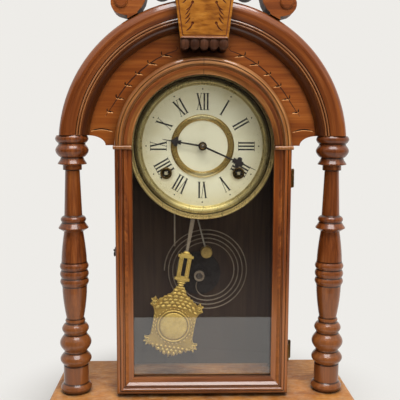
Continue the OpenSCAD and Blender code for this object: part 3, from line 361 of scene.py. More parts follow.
class Carver:
    """Cuts grooves into a copy of a solid of the frame."""

    def __init__(self, node: bpy.types.Object, name: str) -> None:
        """Copy the solid.

        Args:
            node: the frame's solid.
            name: name of the carved copy.
        """
        mesh = node.data.copy()
        mesh.name = name
        self.board = bpy.data.objects.new(name, mesh)
        bpy.context.scene.collection.objects.link(self.board)
        self.knife = Draft()

    def cut(self, wood: bpy.types.Material, groove: bpy.types.Material,
            sides: bpy.types.Material | None = None) -> bpy.types.Object:
        """Cut all that was drawn with the knife.

        Args:
            wood: finish of the board.
            groove: finish of what the knife leaves.
            sides: finish of all but the flat front, where it is another one.

        Returns:
            The carved board.
        """
        board = self.board
        board.data.materials.clear()
        board.data.materials.append(wood)
        board.data.materials.append(groove)
        weld = board.modifiers.new("weld", "WELD")
        weld.merge_threshold = 0.002 * MM
        knife = self.knife.piece(board.name + "_knife", groove)
        cut = board.modifiers.new("cut", "BOOLEAN")
        cut.operation = "DIFFERENCE"
        cut.solver = "EXACT"
        cut.use_self = True
        cut.material_mode = "TRANSFER"
        cut.object = knife
        graph = bpy.context.evaluated_depsgraph_get()
        carved = bpy.data.meshes.new_from_object(board.evaluated_get(graph))
        board.modifiers.clear()
        LOG.info("%s: %d faces before, %d after the carving", board.name,
                 len(board.data.polygons), len(carved.polygons))
        board.data = carved
        if sides is not None:
            carved.materials.append(sides)
            front = min(v.co.y for v in carved.vertices)
            for face in carved.polygons:
                if face.material_index == 0 and face.center.y > front + 0.2 * MM:
                    face.material_index = 2
        carved.shade_smooth()
        carved.set_sharp_from_angle(angle=math.radians(30))
        for face in carved.polygons:
            if abs(face.normal.y) > 0.999:
                face.use_smooth = False
        bpy.data.objects.remove(knife)
        return board


# Shader work


class Bench:
    """Lays nodes and links into one node tree."""

    def __init__(self, tree: bpy.types.NodeTree) -> None:
        """Work on a tree.

        Args:
            tree: of a material, a group or the world.
        """
        self.tree = tree

    def node(self, kind: str, **settings: object) -> bpy.types.Node:
        """Add a node and set its own properties."""
        made = self.tree.nodes.new(kind)
        for key, value in settings.items():
            setattr(made, key, value)
        return made

    def put(self, socket: Socket, value: object) -> None:
        """Link a socket to an input, or set the input to a plain value."""
        if isinstance(value, bpy.types.NodeSocket):
            self.tree.links.new(value, socket)
        else:
            socket.default_value = value

    def math(self, work: str, first: object, second: object = 0.0, clamp: bool = False) -> Socket:
        """Add a Math node and give its result."""
        made = self.node("ShaderNodeMath", operation=work, use_clamp=clamp)
        self.put(made.inputs[0], first)
        self.put(made.inputs[1], second)
        return made.outputs[0]

    def vector(self, work: str, first: object, second: object = (0.0, 0.0, 0.0)) -> Socket:
        """Add a Vector Math node and give its result."""
        made = self.node("ShaderNodeVectorMath", operation=work)
        self.put(made.inputs[0], first)
        self.put(made.inputs[1], second)
        return made.outputs["Value"] if work in ("DOT_PRODUCT", "LENGTH") else made.outputs[0]

    def mix(self, share: object, first: object, second: object, blend: str = "MIX") -> Socket:
        """Blend two colours and give the result."""
        made = self.node("ShaderNodeMix", data_type="RGBA", blend_type=blend)
        self.put(made.inputs[0], share)
        self.put(made.inputs[6], first)
        self.put(made.inputs[7], second)
        return made.outputs[2]

    def noise(self, vector: object, scale: object, detail: float = 3.0, rough: float = 0.55,
              swirl: float = 0.0) -> Socket:
        """Add a noise and give its value."""
        made = self.node("ShaderNodeTexNoise")
        self.put(made.inputs["Vector"], vector)
        self.put(made.inputs["Scale"], scale)
        made.inputs["Detail"].default_value = detail
        made.inputs["Roughness"].default_value = rough
        made.inputs["Distortion"].default_value = swirl
        return made.outputs[0]

    def span(self, value: object, low: object, high: object, out: tuple[float, float] = (0.0, 1.0)) -> Socket:
        """Map a value smoothly from one span to another."""
        made = self.node("ShaderNodeMapRange", interpolation_type="SMOOTHSTEP")
        self.put(made.inputs["Value"], value)
        self.put(made.inputs["From Min"], low)
        self.put(made.inputs["From Max"], high)
        made.inputs["To Min"].default_value = out[0]
        made.inputs["To Max"].default_value = out[1]
        return made.outputs[0]

    def parts(self, vector: object) -> tuple[Socket, Socket, Socket]:
        """Take a vector apart."""
        made = self.node("ShaderNodeSeparateXYZ")
        self.put(made.inputs[0], vector)
        return made.outputs[0], made.outputs[1], made.outputs[2]

    def join(self, x: object, y: object, z: object) -> Socket:
        """Put a vector together."""
        made = self.node("ShaderNodeCombineXYZ")
        for socket, value in zip(made.inputs, (x, y, z)):
            self.put(socket, value)
        return made.outputs[0]

    def group(self, tree: bpy.types.NodeTree, **values: object) -> bpy.types.Node:
        """Place a node group and set its inputs by name, with spaces written as underscores."""
        made = self.node("ShaderNodeGroup", node_tree=tree)
        for key, value in values.items():
            self.put(made.inputs[key.replace("_", " ")], value)
        return made


def from_dial(bench: Bench, place: Socket) -> tuple[Socket, Socket, Socket]:
    """Measure a place from the dial's centre, as seen from the front.

    Args:
        bench: the tree to work in.
        place: the place in the clock's space.

    Returns:
        How far it lies to the right of the centre, above it and away from it.
    """
    x, _, z = bench.parts(place)
    up = bench.math("SUBTRACT", z, PLACES.dial_z)
    return x, up, bench.vector("LENGTH", bench.join(x, 0.0, up))


class Effects:
    """The node groups that several finishes share, each built once."""

    COLOUR = "NodeSocketColor"
    FLOAT = "NodeSocketFloat"
    VECTOR = "NodeSocketVector"

    def __init__(self) -> None:
        """Build all groups."""
        self.arc = self._build("ArcSpace", {"Vector": self.VECTOR}, {"Vector": self.VECTOR}, self._arc)
        self.grain = self._build(
            "WoodGrain",
            {"Vector": self.VECTOR, "Dark": self.COLOUR, "Mid": self.COLOUR, "Light": self.COLOUR,
             "Figure": self.FLOAT, "Seed": self.FLOAT},
            {"Color": self.COLOUR, "Height": self.FLOAT, "Roughness": self.FLOAT}, self._grain)
        self.wear = self._build("EdgeWear", {"Radius": self.FLOAT},
                                {"Mask": self.FLOAT, "Normal": self.VECTOR}, self._wear)
        self.shade_and_grime = self._build("CornerShadeAndGrime", {"Reach": self.FLOAT}, {"Mask": self.FLOAT}, self._shade_and_grime)
        self.tarnish = self._build(
            "Tarnish",
            {"Vector": self.VECTOR, "Bright": self.COLOUR, "Dull": self.COLOUR, "Scale": self.FLOAT,
             "Amount": self.FLOAT},
            {"Color": self.COLOUR, "Roughness": self.FLOAT, "Height": self.FLOAT}, self._tarnish)
        self.dust = self._build("LedgeDust", {"Vector": self.VECTOR}, {"Mask": self.FLOAT}, self._dust)

    @staticmethod
    def _build(name: str, ins: dict[str, str], outs: dict[str, str],
               fill: Callable[[Bench, bpy.types.Node, bpy.types.Node], None]) -> bpy.types.NodeTree:
        """Make one group.

        Args:
            name: the group's name.
            ins, outs: socket names and kinds.
            fill: draws what is inside.

        Returns:
            The group's tree.
        """
        tree = bpy.data.node_groups.new(name, "ShaderNodeTree")
        for side, sockets in (("INPUT", ins), ("OUTPUT", outs)):
            for label, kind in sockets.items():
                tree.interface.new_socket(name=label, in_out=side, socket_type=kind)
        bench = Bench(tree)
        fill(bench, bench.node("NodeGroupInput"), bench.node("NodeGroupOutput"))
        return tree

    @staticmethod
    def _arc(bench: Bench, given: bpy.types.Node, result: bpy.types.Node) -> None:
        """Roll the space out round the dial's centre, so that grain follows a bend."""
        place = given.outputs["Vector"]
        x, up, radius = from_dial(bench, place)
        turn = bench.math("MULTIPLY", bench.math("ARCTAN2", x, up), PLACES.bend)
        bench.put(result.inputs["Vector"], bench.join(radius, bench.parts(place)[1], turn))

    @staticmethod
    def _grain(bench: Bench, given: bpy.types.Node, result: bpy.types.Node) -> None:
        """Draw growth rings, streaks and pores along Z."""
        dark, seed = given.outputs["Dark"], given.outputs["Seed"]
        place = bench.vector("ADD", given.outputs["Vector"], bench.join(seed, seed, seed))

        def along(slow: float) -> Socket:
            """Stretch the place along the grain."""
            return bench.vector("MULTIPLY", place, (1.0, 1.0, slow))
        tone = bench.noise(place, 11.0, 2.0)
        body = bench.noise(along(0.07), 34.0, 3.0, 0.5, 0.5)
        rings = bench.math("PINGPONG", bench.math("MULTIPLY", body, given.outputs["Figure"]), 0.5)
        rings = bench.span(rings, 0.02, 0.46)
        streak = bench.noise(along(0.03), 420.0, 4.0, 0.68)
        pores = bench.span(bench.noise(along(0.02), 1300.0, 2.0, 0.6), 0.60, 0.70)
        share = bench.math("ADD", bench.math("MULTIPLY", rings, 0.42),
                           bench.span(streak, 0.28, 0.74, (0.0, 0.58)))
        colour = bench.mix(bench.span(share, 0.05, 0.55), dark, given.outputs["Mid"])
        colour = bench.mix(bench.span(share, 0.50, 1.0), colour, given.outputs["Light"])
        colour = bench.mix(bench.span(tone, 0.34, 0.68, (0.30, 0.0)), colour, dark)
        colour = bench.mix(bench.math("MULTIPLY", pores, 0.3), colour, bench.mix(0.55, dark, BLACK))
        bench.put(result.inputs["Color"], colour)
        bench.put(result.inputs["Height"], bench.math("SUBTRACT", bench.math("MULTIPLY", streak, 0.5), pores))
        bench.put(result.inputs["Roughness"], bench.math(
            "ADD", bench.math("MULTIPLY", tone, 0.10), bench.math("MULTIPLY", pores, 0.12)))

    @staticmethod
    def _wear(bench: Bench, given: bpy.types.Node, result: bpy.types.Node) -> None:
        """Find the worn edges, and round them off for the light."""
        soft = bench.node("ShaderNodeBevel", samples=6)
        bench.put(soft.inputs["Radius"], given.outputs["Radius"])
        shape = bench.node("ShaderNodeNewGeometry")
        turn = bench.vector("DOT_PRODUCT", soft.outputs[0], shape.outputs["Normal"])
        edge = bench.span(bench.math("SUBTRACT", 1.0, turn), 0.01, 0.16)
        patch = bench.span(bench.noise(shape.outputs["Position"], 90.0, 3.0), 0.38, 0.66)
        bench.put(result.inputs["Mask"], bench.math("MULTIPLY", edge, patch))
        bench.put(result.inputs["Normal"], soft.outputs[0])

    @staticmethod
    def _shade_and_grime(bench: Bench, given: bpy.types.Node, result: bpy.types.Node) -> None:
        """Find corners and crevices by ambient occlusion, for painted shade with some dirt."""
        shade = bench.node("ShaderNodeAmbientOcclusion", samples=6)
        bench.put(shade.inputs["Distance"], given.outputs["Reach"])
        open_sky = bench.span(shade.outputs["AO"], 0.25, 0.85)
        shape = bench.node("ShaderNodeNewGeometry")
        patch = bench.noise(shape.outputs["Position"], 70.0, 3.0)
        bench.put(result.inputs["Mask"], bench.math(
            "MULTIPLY", bench.math("SUBTRACT", 1.0, open_sky), bench.span(patch, 0.2, 0.6, (0.55, 1.0))))

    @staticmethod
    def _tarnish(bench: Bench, given: bpy.types.Node, result: bpy.types.Node) -> None:
        """Cloud a metal with patches, specks and fine scratches."""
        place, scale = given.outputs["Vector"], given.outputs["Scale"]
        cloud = bench.noise(place, scale, 5.0, 0.62, 0.4)
        speck = bench.noise(place, bench.math("MULTIPLY", scale, 9.0), 2.0)
        mask = bench.math("ADD", bench.span(cloud, 0.36, 0.68), bench.span(speck, 0.60, 0.74, (0.0, 0.5)))
        mask = bench.math("MULTIPLY", mask, given.outputs["Amount"], True)
        scratch = bench.noise(bench.vector("MULTIPLY", place, (1.0, 1.0, 0.05)), 1600.0, 1.0)
        bench.put(result.inputs["Color"], bench.mix(mask, given.outputs["Bright"], given.outputs["Dull"]))
        bench.put(result.inputs["Roughness"], bench.math(
            "ADD", bench.math("MULTIPLY", mask, 0.28), bench.math("MULTIPLY", scratch, 0.12)))
        bench.put(result.inputs["Height"], bench.math("ADD", bench.math("MULTIPLY", speck, 0.6),
                                                      bench.math("MULTIPLY", scratch, 0.4)))

    @staticmethod
    def _dust(bench: Bench, given: bpy.types.Node, result: bpy.types.Node) -> None:
        """Lay thin dust on what looks up."""
        shape = bench.node("ShaderNodeNewGeometry")
        up = bench.parts(shape.outputs["Normal"])[2]
        fleck = bench.noise(given.outputs["Vector"], 160.0, 4.0, 0.7)
        bench.put(result.inputs["Mask"], bench.math(
            "MULTIPLY", bench.span(up, 0.45, 1.0), bench.span(fleck, 0.40, 0.75)))


class Grain(Enum):
    """The way that a board's grain runs."""

    ACROSS = "x"
    DEEP = "y"
    UPRIGHT = "z"
    BENT = "arc"
    BURR = "burr"


class Inside(Enum):
    """Which side of a board is the bare dark inside of the case."""

    NONE = "none"
    ROUND = "round"
    FRONT = "front"


class Finish:
    """A material with one surface shader, ready for nodes."""

    def __init__(self, name: str) -> None:
        """Start an empty material with its shader and coordinates.

        Args:
            name: the material's name.
        """
        self.material = bpy.data.materials.new(name)
        self.material.use_nodes = True
        self.bench = Bench(self.material.node_tree)
        self.shader = next(n for n in self.material.node_tree.nodes if n.type == "BSDF_PRINCIPLED")
        self.place = self.bench.node("ShaderNodeTexCoord").outputs["Object"]

    def set(self, **values: object) -> None:
        """Set or link inputs of the surface shader, with spaces written as underscores."""
        for key, value in values.items():
            self.bench.put(self.shader.inputs[key.replace("_", " ")], value)

    def bump(self, height: Socket, depth: float, normal: Socket | None = None) -> None:
        """Raise the surface by a height.

        Args:
            height: from 0 to 1.
            depth: what a height of 1 stands for, in metres.
            normal: a normal to start from.
        """
        made = self.bench.node("ShaderNodeBump")
        made.inputs["Strength"].default_value = 0.6
        made.inputs["Distance"].default_value = depth
        self.bench.put(made.inputs["Height"], height)
        if normal is not None:
            self.bench.put(made.inputs["Normal"], normal)
        self.set(Normal=made.outputs[0])

    def blend(self, share: Socket, other: bpy.types.Node) -> None:
        """Mix another shader into the surface.

        Args:
            share: how much of it there is, from 0 to 1.
            other: the node of the other shader.
        """
        mixed = self.bench.node("ShaderNodeMixShader")
        self.bench.put(mixed.inputs[0], share)
        self.bench.put(mixed.inputs[1], self.shader.outputs[0])
        self.bench.put(mixed.inputs[2], other.outputs[0])
        end = next(n for n in self.material.node_tree.nodes if n.type == "OUTPUT_MATERIAL")
        self.bench.put(end.inputs["Surface"], mixed.outputs[0])


@dataclass(frozen=True)
class AgeingAndShading:
    """What use and time leave on wood, with the shade and highlights painted onto it.

    Attributes:
        wear_and_glint: bare wood of worn edges, also painted as a highlight on a moulding's beads.
        foot_tone, foot_span: a lighter tone towards the foot, and the heights between which it ends.
        crease, crease_span: painted shade in turned creases, and how far from them it ends.
        shade_and_grime: painted shade in corners, with some dirt.
        painted_shading: painted shade in a bent moulding's hollow.
        dust: dust on ledges.
        seam, seam_span: an open joint, and how far from its middle it ends.
        dark_inside: the bare inside of the case, aged wood made darker still as painted shade of the closed
            case.
        edge, wide, fine: reach of the rubbing, and of the painted shade with dirt in wide and in fine
            corners.
        grain_depth: depth of the open grain.
    """

    wear_and_glint: Colour = srgb(214, 170, 118)
    foot_tone: Colour = srgb(168, 108, 60)
    foot_span: Flat = (0.12, 0.20)
    crease: Colour = srgb(30, 14, 7)
    crease_span: Flat = (0.3 * MM, 1.2 * MM)
    shade_and_grime: Colour = srgb(26, 13, 7)
    painted_shading: Colour = srgb(46, 21, 9)
    dust: Colour = srgb(190, 175, 155)
    seam: Colour = srgb(40, 20, 10)
    seam_span: Flat = (0.15 * MM, 0.55 * MM)
    dark_inside: Colour = srgb(54, 47, 45)
    edge: float = 0.7 * MM
    wide: float = 16 * MM
    fine: float = 3.5 * MM
    grain_depth: float = 0.09 * MM


AGEING_AND_SHADING = AgeingAndShading()


@dataclass(frozen=True)
class Wood:
    """A varnished wood.

    Attributes:
        name: the material's name.
        dark, mid, light: colours of its grain.
        grain: the way that it runs.
        seed: shifts the pattern, so that no two boards are the same.
        figure: how many growth rings show.
        roughness: of the wood under the varnish.
        coat, sheen, lacquer: the varnish's weight, roughness and refraction.
        inside: which side is the bare inside of the case.
        shade_and_grime, wear, dust: how much painted corner shade with dirt, wear and dust shows.
        seam: whether an open joint runs up its middle.
        hollow, bands: radii of a bent moulding's hollow, which gets painted shade, and of its beads, which
            get painted highlights.
        lighter_foot: how much lighter it turns towards the foot.
        raw_back: whether its back has no varnish.
        creases: heights of its turned creases.
    """

    name: str
    dark: Colour
    mid: Colour
    light: Colour
    grain: Grain
    seed: float = 0.0
    figure: float = 5.0
    roughness: float = 0.34
    coat: float = 0.6
    sheen: float = 0.1
    lacquer: float = 1.6
    inside: Inside = Inside.NONE
    shade_and_grime: float = 0.75
    wear: float = 0.5
    dust: float = 0.05
    seam: bool = False
    hollow: float = 0.0
    bands: tuple[float, ...] = ()
    lighter_foot: float = 0.0
    raw_back: bool = False
    creases: tuple[float, ...] = ()

    def material(self, effects: Effects) -> bpy.types.Material:
        """Build the material.

        Args:
            effects: the shared node groups.

        Returns:
            The material.
        """
        finish = Finish(self.name)
        bench = finish.bench
        space = self._space(finish, effects)
        wood = bench.group(effects.grain, Vector=space, Dark=self.dark, Mid=self.mid, Light=self.light,
                           Figure=self.figure, Seed=self.seed)
        edge = bench.group(effects.wear, Radius=AGEING_AND_SHADING.edge)
        colour = self._aged_and_shaded(finish, effects, wood.outputs["Color"], edge.outputs["Mask"], space)
        rough = bench.math("ADD", wood.outputs["Roughness"], self.roughness)
        coat: object = self.coat
        gloss = 0.12
        if self.raw_back:
            behind = bench.parts(bench.node("ShaderNodeNewGeometry").outputs["Normal"])[1]
            coat = bench.span(behind, 0.2, 0.7, (self.coat, 0.0))
            rough = bench.math("ADD", rough, bench.span(behind, 0.2, 0.7, (0.0, 0.3)), True)
        # The bare inside: aged wood, made darker still as painted shade of the closed case.
        if self.inside is not Inside.NONE:
            bare = self._bare(bench, finish.place)
            colour = bench.mix(bare, colour, bench.mix(0.88, wood.outputs["Color"], AGEING_AND_SHADING.dark_inside))
            rough = bench.math("ADD", rough, bench.math("MULTIPLY", bare, 0.3), True)
            coat = bench.math("MULTIPLY", bench.math("SUBTRACT", 1.0, bare), self.coat)
            gloss = 0.03
        finish.set(Base_Color=colour, Roughness=rough, Coat_Weight=coat, Coat_Roughness=self.sheen,
                   Coat_IOR=self.lacquer, Specular_IOR_Level=gloss)
        finish.bump(wood.outputs["Height"], AGEING_AND_SHADING.grain_depth, edge.outputs["Normal"])
        return finish.material

    def _space(self, finish: Finish, effects: Effects) -> Socket:
        """Turn the place so that its Z runs along the grain."""
        bench = finish.bench
        if self.grain is Grain.UPRIGHT:
            return finish.place
        if self.grain is Grain.BENT:
            return bench.group(effects.arc, Vector=finish.place).outputs[0]
        x, y, z = bench.parts(finish.place)
        if self.grain is Grain.DEEP:
            return bench.join(x, z, y)
        across = bench.join(z, y, x)
        if self.grain is Grain.BURR:
            return bench.vector("MULTIPLY", across, (0.8, 0.8, 6.0))
        return across

    def _aged_and_shaded(self, finish: Finish, effects: Effects, colour: Socket, edge: Socket, space: Socket) -> Socket:
        """Lay on the marks of use and time, and the painted shade and highlights.

        Args:
            finish: the material in work.
            effects: the shared node groups.
            colour: the fresh wood.
            edge: mask of the worn edges.
            space: the place, with its Z along the grain.

        Returns:
            The aged wood, with its painted shade and highlights.
        """
        bench = finish.bench
        x, _, z = bench.parts(finish.place)
        wide = bench.group(effects.shade_and_grime, Reach=AGEING_AND_SHADING.wide)
        fine = bench.group(effects.shade_and_grime, Reach=AGEING_AND_SHADING.fine)
        shade_and_dirt = bench.math("MAXIMUM", wide.outputs["Mask"], fine.outputs["Mask"])
        dust = bench.group(effects.dust, Vector=finish.place)
        wear_and_glint = bench.mix(0.5, self.light, AGEING_AND_SHADING.wear_and_glint)
        colour = bench.mix(bench.math("MULTIPLY", edge, self.wear), colour, wear_and_glint)
        if self.hollow > 0:
            colour = self._moulded(bench, bench.parts(space)[0], colour, wear_and_glint)
        # Lighter towards the foot.
        if self.lighter_foot > 0:
            low = bench.span(z, *AGEING_AND_SHADING.foot_span, (self.lighter_foot, 0.0))
            colour = bench.mix(low, colour, AGEING_AND_SHADING.foot_tone)
        # Painted shade along the turned creases.
        for crease in self.creases:
            away = bench.math("ABSOLUTE", bench.math("SUBTRACT", z, crease))
            colour = bench.mix(bench.span(away, *AGEING_AND_SHADING.crease_span, (0.8, 0.0)), colour, AGEING_AND_SHADING.crease)
        # Painted shade, with some dirt, in corners and crevices found by ambient occlusion.
        colour = bench.mix(bench.math("MULTIPLY", shade_and_dirt, self.shade_and_grime), colour, AGEING_AND_SHADING.shade_and_grime)
        colour = bench.mix(bench.math("MULTIPLY", dust.outputs["Mask"], self.dust), colour, AGEING_AND_SHADING.dust)
        if self.seam:
            line = bench.span(bench.math("ABSOLUTE", x), *AGEING_AND_SHADING.seam_span, (0.75, 0.0))
            colour = bench.mix(line, colour, AGEING_AND_SHADING.seam)
        return colour

    def _moulded(self, bench: Bench, radius: Socket, colour: Socket, wear_and_glint: Socket) -> Socket:
        """Paint highlights on the tops of a bent moulding's beads, and paint shade into its hollow."""
        # Painted highlight along the top of each bead.
        for band in self.bands:
            away = bench.math("ABSOLUTE", bench.math("SUBTRACT", radius, band))
            colour = bench.mix(bench.span(away, 0.3 * MM, 1.0 * MM, (0.26, 0.0)), colour, wear_and_glint)
        # Painted shade in the hollow.
        deep = bench.span(radius, self.hollow - 2.0 * MM, self.hollow, (0.78, 0.0))
        return bench.mix(deep, colour, AGEING_AND_SHADING.painted_shading)

    def _bare(self, bench: Bench, place: Socket) -> Socket:
        """Mask the side of the board that is inside the case."""
        x, y, z = bench.parts(place)
        if self.inside is Inside.FRONT:
            return bench.math("LESS_THAN", y, PLACES.back_inside)
        up = bench.math("MAXIMUM", bench.math("SUBTRACT", z, PLACES.dial_z), 0.0)
        return bench.math("LESS_THAN", bench.vector("LENGTH", bench.join(x, 0.0, up)), PLACES.case_inside)


@dataclass(frozen=True)
class Metal:
    """A metal with its tarnish. Every pair of tones is for the bright and the dull metal.

    Attributes:
        name: the material's name.
        bright, dull: colours of the polished and of the tarnished metal.
        roughness: of the polished metal.
        amount, scale: how much is tarnished, and how fine the patches are.
        metallic: how far it mirrors as metal does.
        bump: depth of its marks, in millimetres.
        shade_and_grime, shade_and_soil, corner: how much painted shade with dirt darkens its corners, its
            colour and its reach.
        edge, worn: how much its edges are worn, and how far in.
        spot, spot_tones: X, Z and radius of a part in other tones.
        rim, rim_tones: radius at which the bezel's outer rim begins.
        rim_shade, slope_shade: painted shade on the rim towards its top, and on the slope inside it above its
            foot, which leaves a painted highlight at the foot.
        rim_groove_shade: painted shade along the groove between them.
        wear_and_glint, glint_tones: how far above and below the dial's centre a ring gets a painted
            highlight, and the highlight's tones.
    """

    name: str
    bright: Colour
    dull: Colour
    roughness: float = 0.26
    amount: float = 0.6
    scale: float = 60.0
    metallic: float = 1.0
    bump: float = 0.05
    shade_and_grime: float = 0.7
    shade_and_soil: Colour = (0.004, 0.003, 0.002, 1.0)
    corner: float = 4 * MM
    edge: float = 0.6
    worn: float = 0.35 * MM
    spot: Spot | None = None
    spot_tones: Pair = (srgb(200, 168, 96), srgb(132, 102, 52))
    rim: float = 0.0
    rim_tones: Pair = (srgb(232, 204, 136), srgb(192, 164, 104))
    rim_shade: Pair = (srgb(140, 120, 80), srgb(104, 86, 54))
    slope_shade: Pair = (srgb(140, 124, 84), srgb(106, 92, 62))
    rim_groove_shade: Pair = (srgb(62, 50, 28), srgb(48, 38, 22))
    wear_and_glint: float = 0.0
    glint_tones: Pair = (srgb(255, 240, 186), srgb(250, 226, 160))

    def material(self, effects: Effects) -> bpy.types.Material:
        """Build the material.

        Args:
            effects: the shared node groups.

        Returns:
            The material.
        """
        finish = Finish(self.name)
        bench = finish.bench
        bright, dull = self._tones(bench, finish.place)
        cloud = bench.group(effects.tarnish, Vector=finish.place, Bright=bright, Dull=dull,
                            Scale=self.scale, Amount=self.amount)
        shade_and_dirt = bench.group(effects.shade_and_grime, Reach=self.corner)
        colour = cloud.outputs["Color"]
        normal = None
        if self.edge > 0:
            wear_and_glint = bench.group(effects.wear, Radius=self.worn)
            colour = bench.mix(bench.math("MULTIPLY", wear_and_glint.outputs["Mask"], self.edge), colour, bright)
            normal = wear_and_glint.outputs["Normal"]
        # Painted shade, with some dirt, in the metal's corners.
        colour = bench.mix(bench.math("MULTIPLY", shade_and_dirt.outputs["Mask"], self.shade_and_grime), colour,
                           bench.mix(0.75, dull, self.shade_and_soil))
        finish.set(Base_Color=colour, Metallic=self.metallic,
                   Roughness=bench.math("ADD", cloud.outputs["Roughness"], self.roughness))
        finish.bump(cloud.outputs["Height"], self.bump * MM, normal)
        return finish.material

    def _tones(self, bench: Bench, place: Socket) -> tuple[object, object]:
        """Give the bright and the dull tone, the same all over or as they change on the piece."""
        own = (self.bright, self.dull)
        if self.spot is not None:
            x, _, z = bench.parts(place)
            away = bench.join(bench.math("SUBTRACT", x, self.spot[0]), 0.0,
                              bench.math("SUBTRACT", z, self.spot[1]))
            near = bench.math("LESS_THAN", bench.vector("LENGTH", away), self.spot[2])
            return self._shift(bench, near, own, self.spot_tones)
        # Painted highlight at the top and bottom of the centre ring.
        if self.wear_and_glint > 0:
            away = bench.math("ABSOLUTE", bench.math("SUBTRACT", bench.parts(place)[2], PLACES.dial_z))
            painted_shading = bench.span(away, self.wear_and_glint, self.wear_and_glint + 3.5 * MM, (0.0, 0.8))
            return self._shift(bench, painted_shading, own, self.glint_tones)
        return self._rimmed(bench, place) if self.rim > 0 else own

    def _rimmed(self, bench: Bench, place: Socket) -> tuple[Socket, Socket]:
        """Paint a highlight at the foot of the bezel's slope, shade on its outer rim towards the top, and
        shade along the groove between them.
        """
        _, up, radius = from_dial(bench, place)
        # Painted highlight at the foot of the slope, painted shade above it.
        above_foot = bench.span(up, -64.5 * MM, -54.0 * MM, (0.0, 0.72))
        slope = self._shift(bench, above_foot, (self.bright, self.dull), self.slope_shade)
        # Painted shade on the rim towards its top.
        towards_top = bench.span(up, 0.0, 70.0 * MM, (0.0, 0.7))
        rim = self._shift(bench, towards_top, self.rim_tones, self.rim_shade)
        outer = bench.span(radius, self.rim - 0.4 * MM, self.rim + 0.4 * MM)
        both = self._shift(bench, outer, slope, rim)
        # Painted shade along the groove at the rim's edge.
        away = bench.math("ABSOLUTE", bench.math("SUBTRACT", radius, self.rim))
        line = bench.span(away, 0.4 * MM, 1.1 * MM, (0.85, 0.0))
        return self._shift(bench, line, both, self.rim_groove_shade)

    @staticmethod
    def _shift(bench: Bench, share: Socket, first: Sequence[object],
               second: Sequence[object]) -> tuple[Socket, Socket]:
        """Blend one pair of tones into another."""
        return bench.mix(share, first[0], second[0]), bench.mix(share, first[1], second[1])


@dataclass(frozen=True)
class DialPaint:
    """Aged cream paint on the dial, yellowed towards the rim and stained round the holes.

    Attributes:
        name: the material's name.
        cream, aged, stain: fresh, yellowed and stained paint.
        yellowed: radii between which the paint turns yellow.
        stained: distances from a winding hole's centre between which the stain ends.
    """

    name: str = "dial_cream_paint"
    cream: Colour = srgb(230, 223, 194)
    aged: Colour = srgb(210, 198, 158)
    stain: Colour = srgb(150, 128, 88)
    yellowed: Flat = (0.040, 0.066)
    stained: Flat = (0.0055, 0.0105)

    def material(self) -> bpy.types.Material:
        """Build the material.

        Returns:
            The material.
        """
        finish = Finish(self.name)
        bench = finish.bench
        x, up, radius = from_dial(bench, finish.place)
        cloud = bench.noise(finish.place, 45.0, 5.0, 0.6)
        fleck = bench.noise(finish.place, 700.0, 2.0)
        rim = bench.math("ADD", bench.span(radius, *self.yellowed, (0.0, 0.75)),
                         bench.span(cloud, 0.45, 0.75, (0.0, 0.5)))
        colour = bench.mix(rim, self.cream, self.aged)
        side = bench.math("SUBTRACT", bench.math("ABSOLUTE", x), PLACES.winding[0])
        hole = bench.vector("LENGTH", bench.join(side, 0.0, bench.math("ADD", up, PLACES.winding[1])))
        ring = bench.math("MULTIPLY", bench.span(hole, *self.stained, (0.8, 0.0)),
                          bench.span(cloud, 0.3, 0.6))
        colour = bench.mix(ring, colour, self.stain)
        colour = bench.mix(bench.span(fleck, 0.68, 0.78, (0.0, 0.5)), colour, self.stain)
        finish.set(Base_Color=colour, Roughness=bench.span(cloud, 0.3, 0.7, (0.42, 0.58)), Coat_Weight=0.15,
                   Coat_Roughness=0.3)
        finish.bump(cloud, 0.05 * MM)
        return finish.material


@dataclass(frozen=True)
class DoorGlass:
    """Old window glass with a slight wave, which lets light through to the inside.

    Attributes:
        name: the material's name.
        tint: its colour.
        shade: how it colours the light that passes.
        ior: how strongly it bends and mirrors light.
    """

    name: str = "old_door_glass"
    tint: Colour = (0.97, 0.98, 0.97, 1.0)
    shade: Colour = (0.93, 0.94, 0.93, 1.0)
    ior: float = 1.75

    def material(self) -> bpy.types.Material:
        """Build the material.

        Returns:
            The material.
        """
        finish = Finish(self.name)
        bench = finish.bench
        finish.set(Base_Color=self.tint, Roughness=0.0, Transmission_Weight=1.0, IOR=self.ior)
        finish.bump(bench.noise(finish.place, 9.0, 0.0), 0.02 * MM)
        path = bench.node("ShaderNodeLightPath")
        clear = bench.node("ShaderNodeBsdfTransparent")
        clear.inputs["Color"].default_value = self.shade
        light = bench.math("MAXIMUM", path.outputs["Is Shadow Ray"], path.outputs["Is Diffuse Ray"])
        finish.blend(light, clear)
        return finish.material


@dataclass(frozen=True)
class Ink:
    """Thin dark paint, or the dark of a carved cut, worn in places.

    Attributes:
        name: the material's name.
        colour, worn: the full and the worn paint.
        roughness: of the full paint.
        painted_highlight: a painted highlight on walls that look up.
    """

    name: str
    colour: Colour
    worn: Colour
    roughness: float = 0.5
    painted_highlight: Colour | None = None

    def material(self) -> bpy.types.Material:
        """Build the material.

        Returns:
            The material.
        """
        finish = Finish(self.name)
        bench = finish.bench
        patch = bench.span(bench.noise(finish.place, 330.0, 4.0, 0.7), 0.46, 0.74)
        colour = bench.mix(patch, self.colour, self.worn)
        # Painted highlight: walls that look up are paler.
        if self.painted_highlight is not None:
            up = bench.parts(bench.node("ShaderNodeNewGeometry").outputs["Normal"])[2]
            colour = bench.mix(bench.span(up, 0.40, 0.46), colour, self.painted_highlight)
        finish.set(Base_Color=colour,
                   Roughness=bench.span(patch, 0.0, 1.0, (self.roughness, self.roughness + 0.2)),
                   Specular_IOR_Level=0.2)
        finish.bump(patch, 0.02 * MM)
        return finish.material


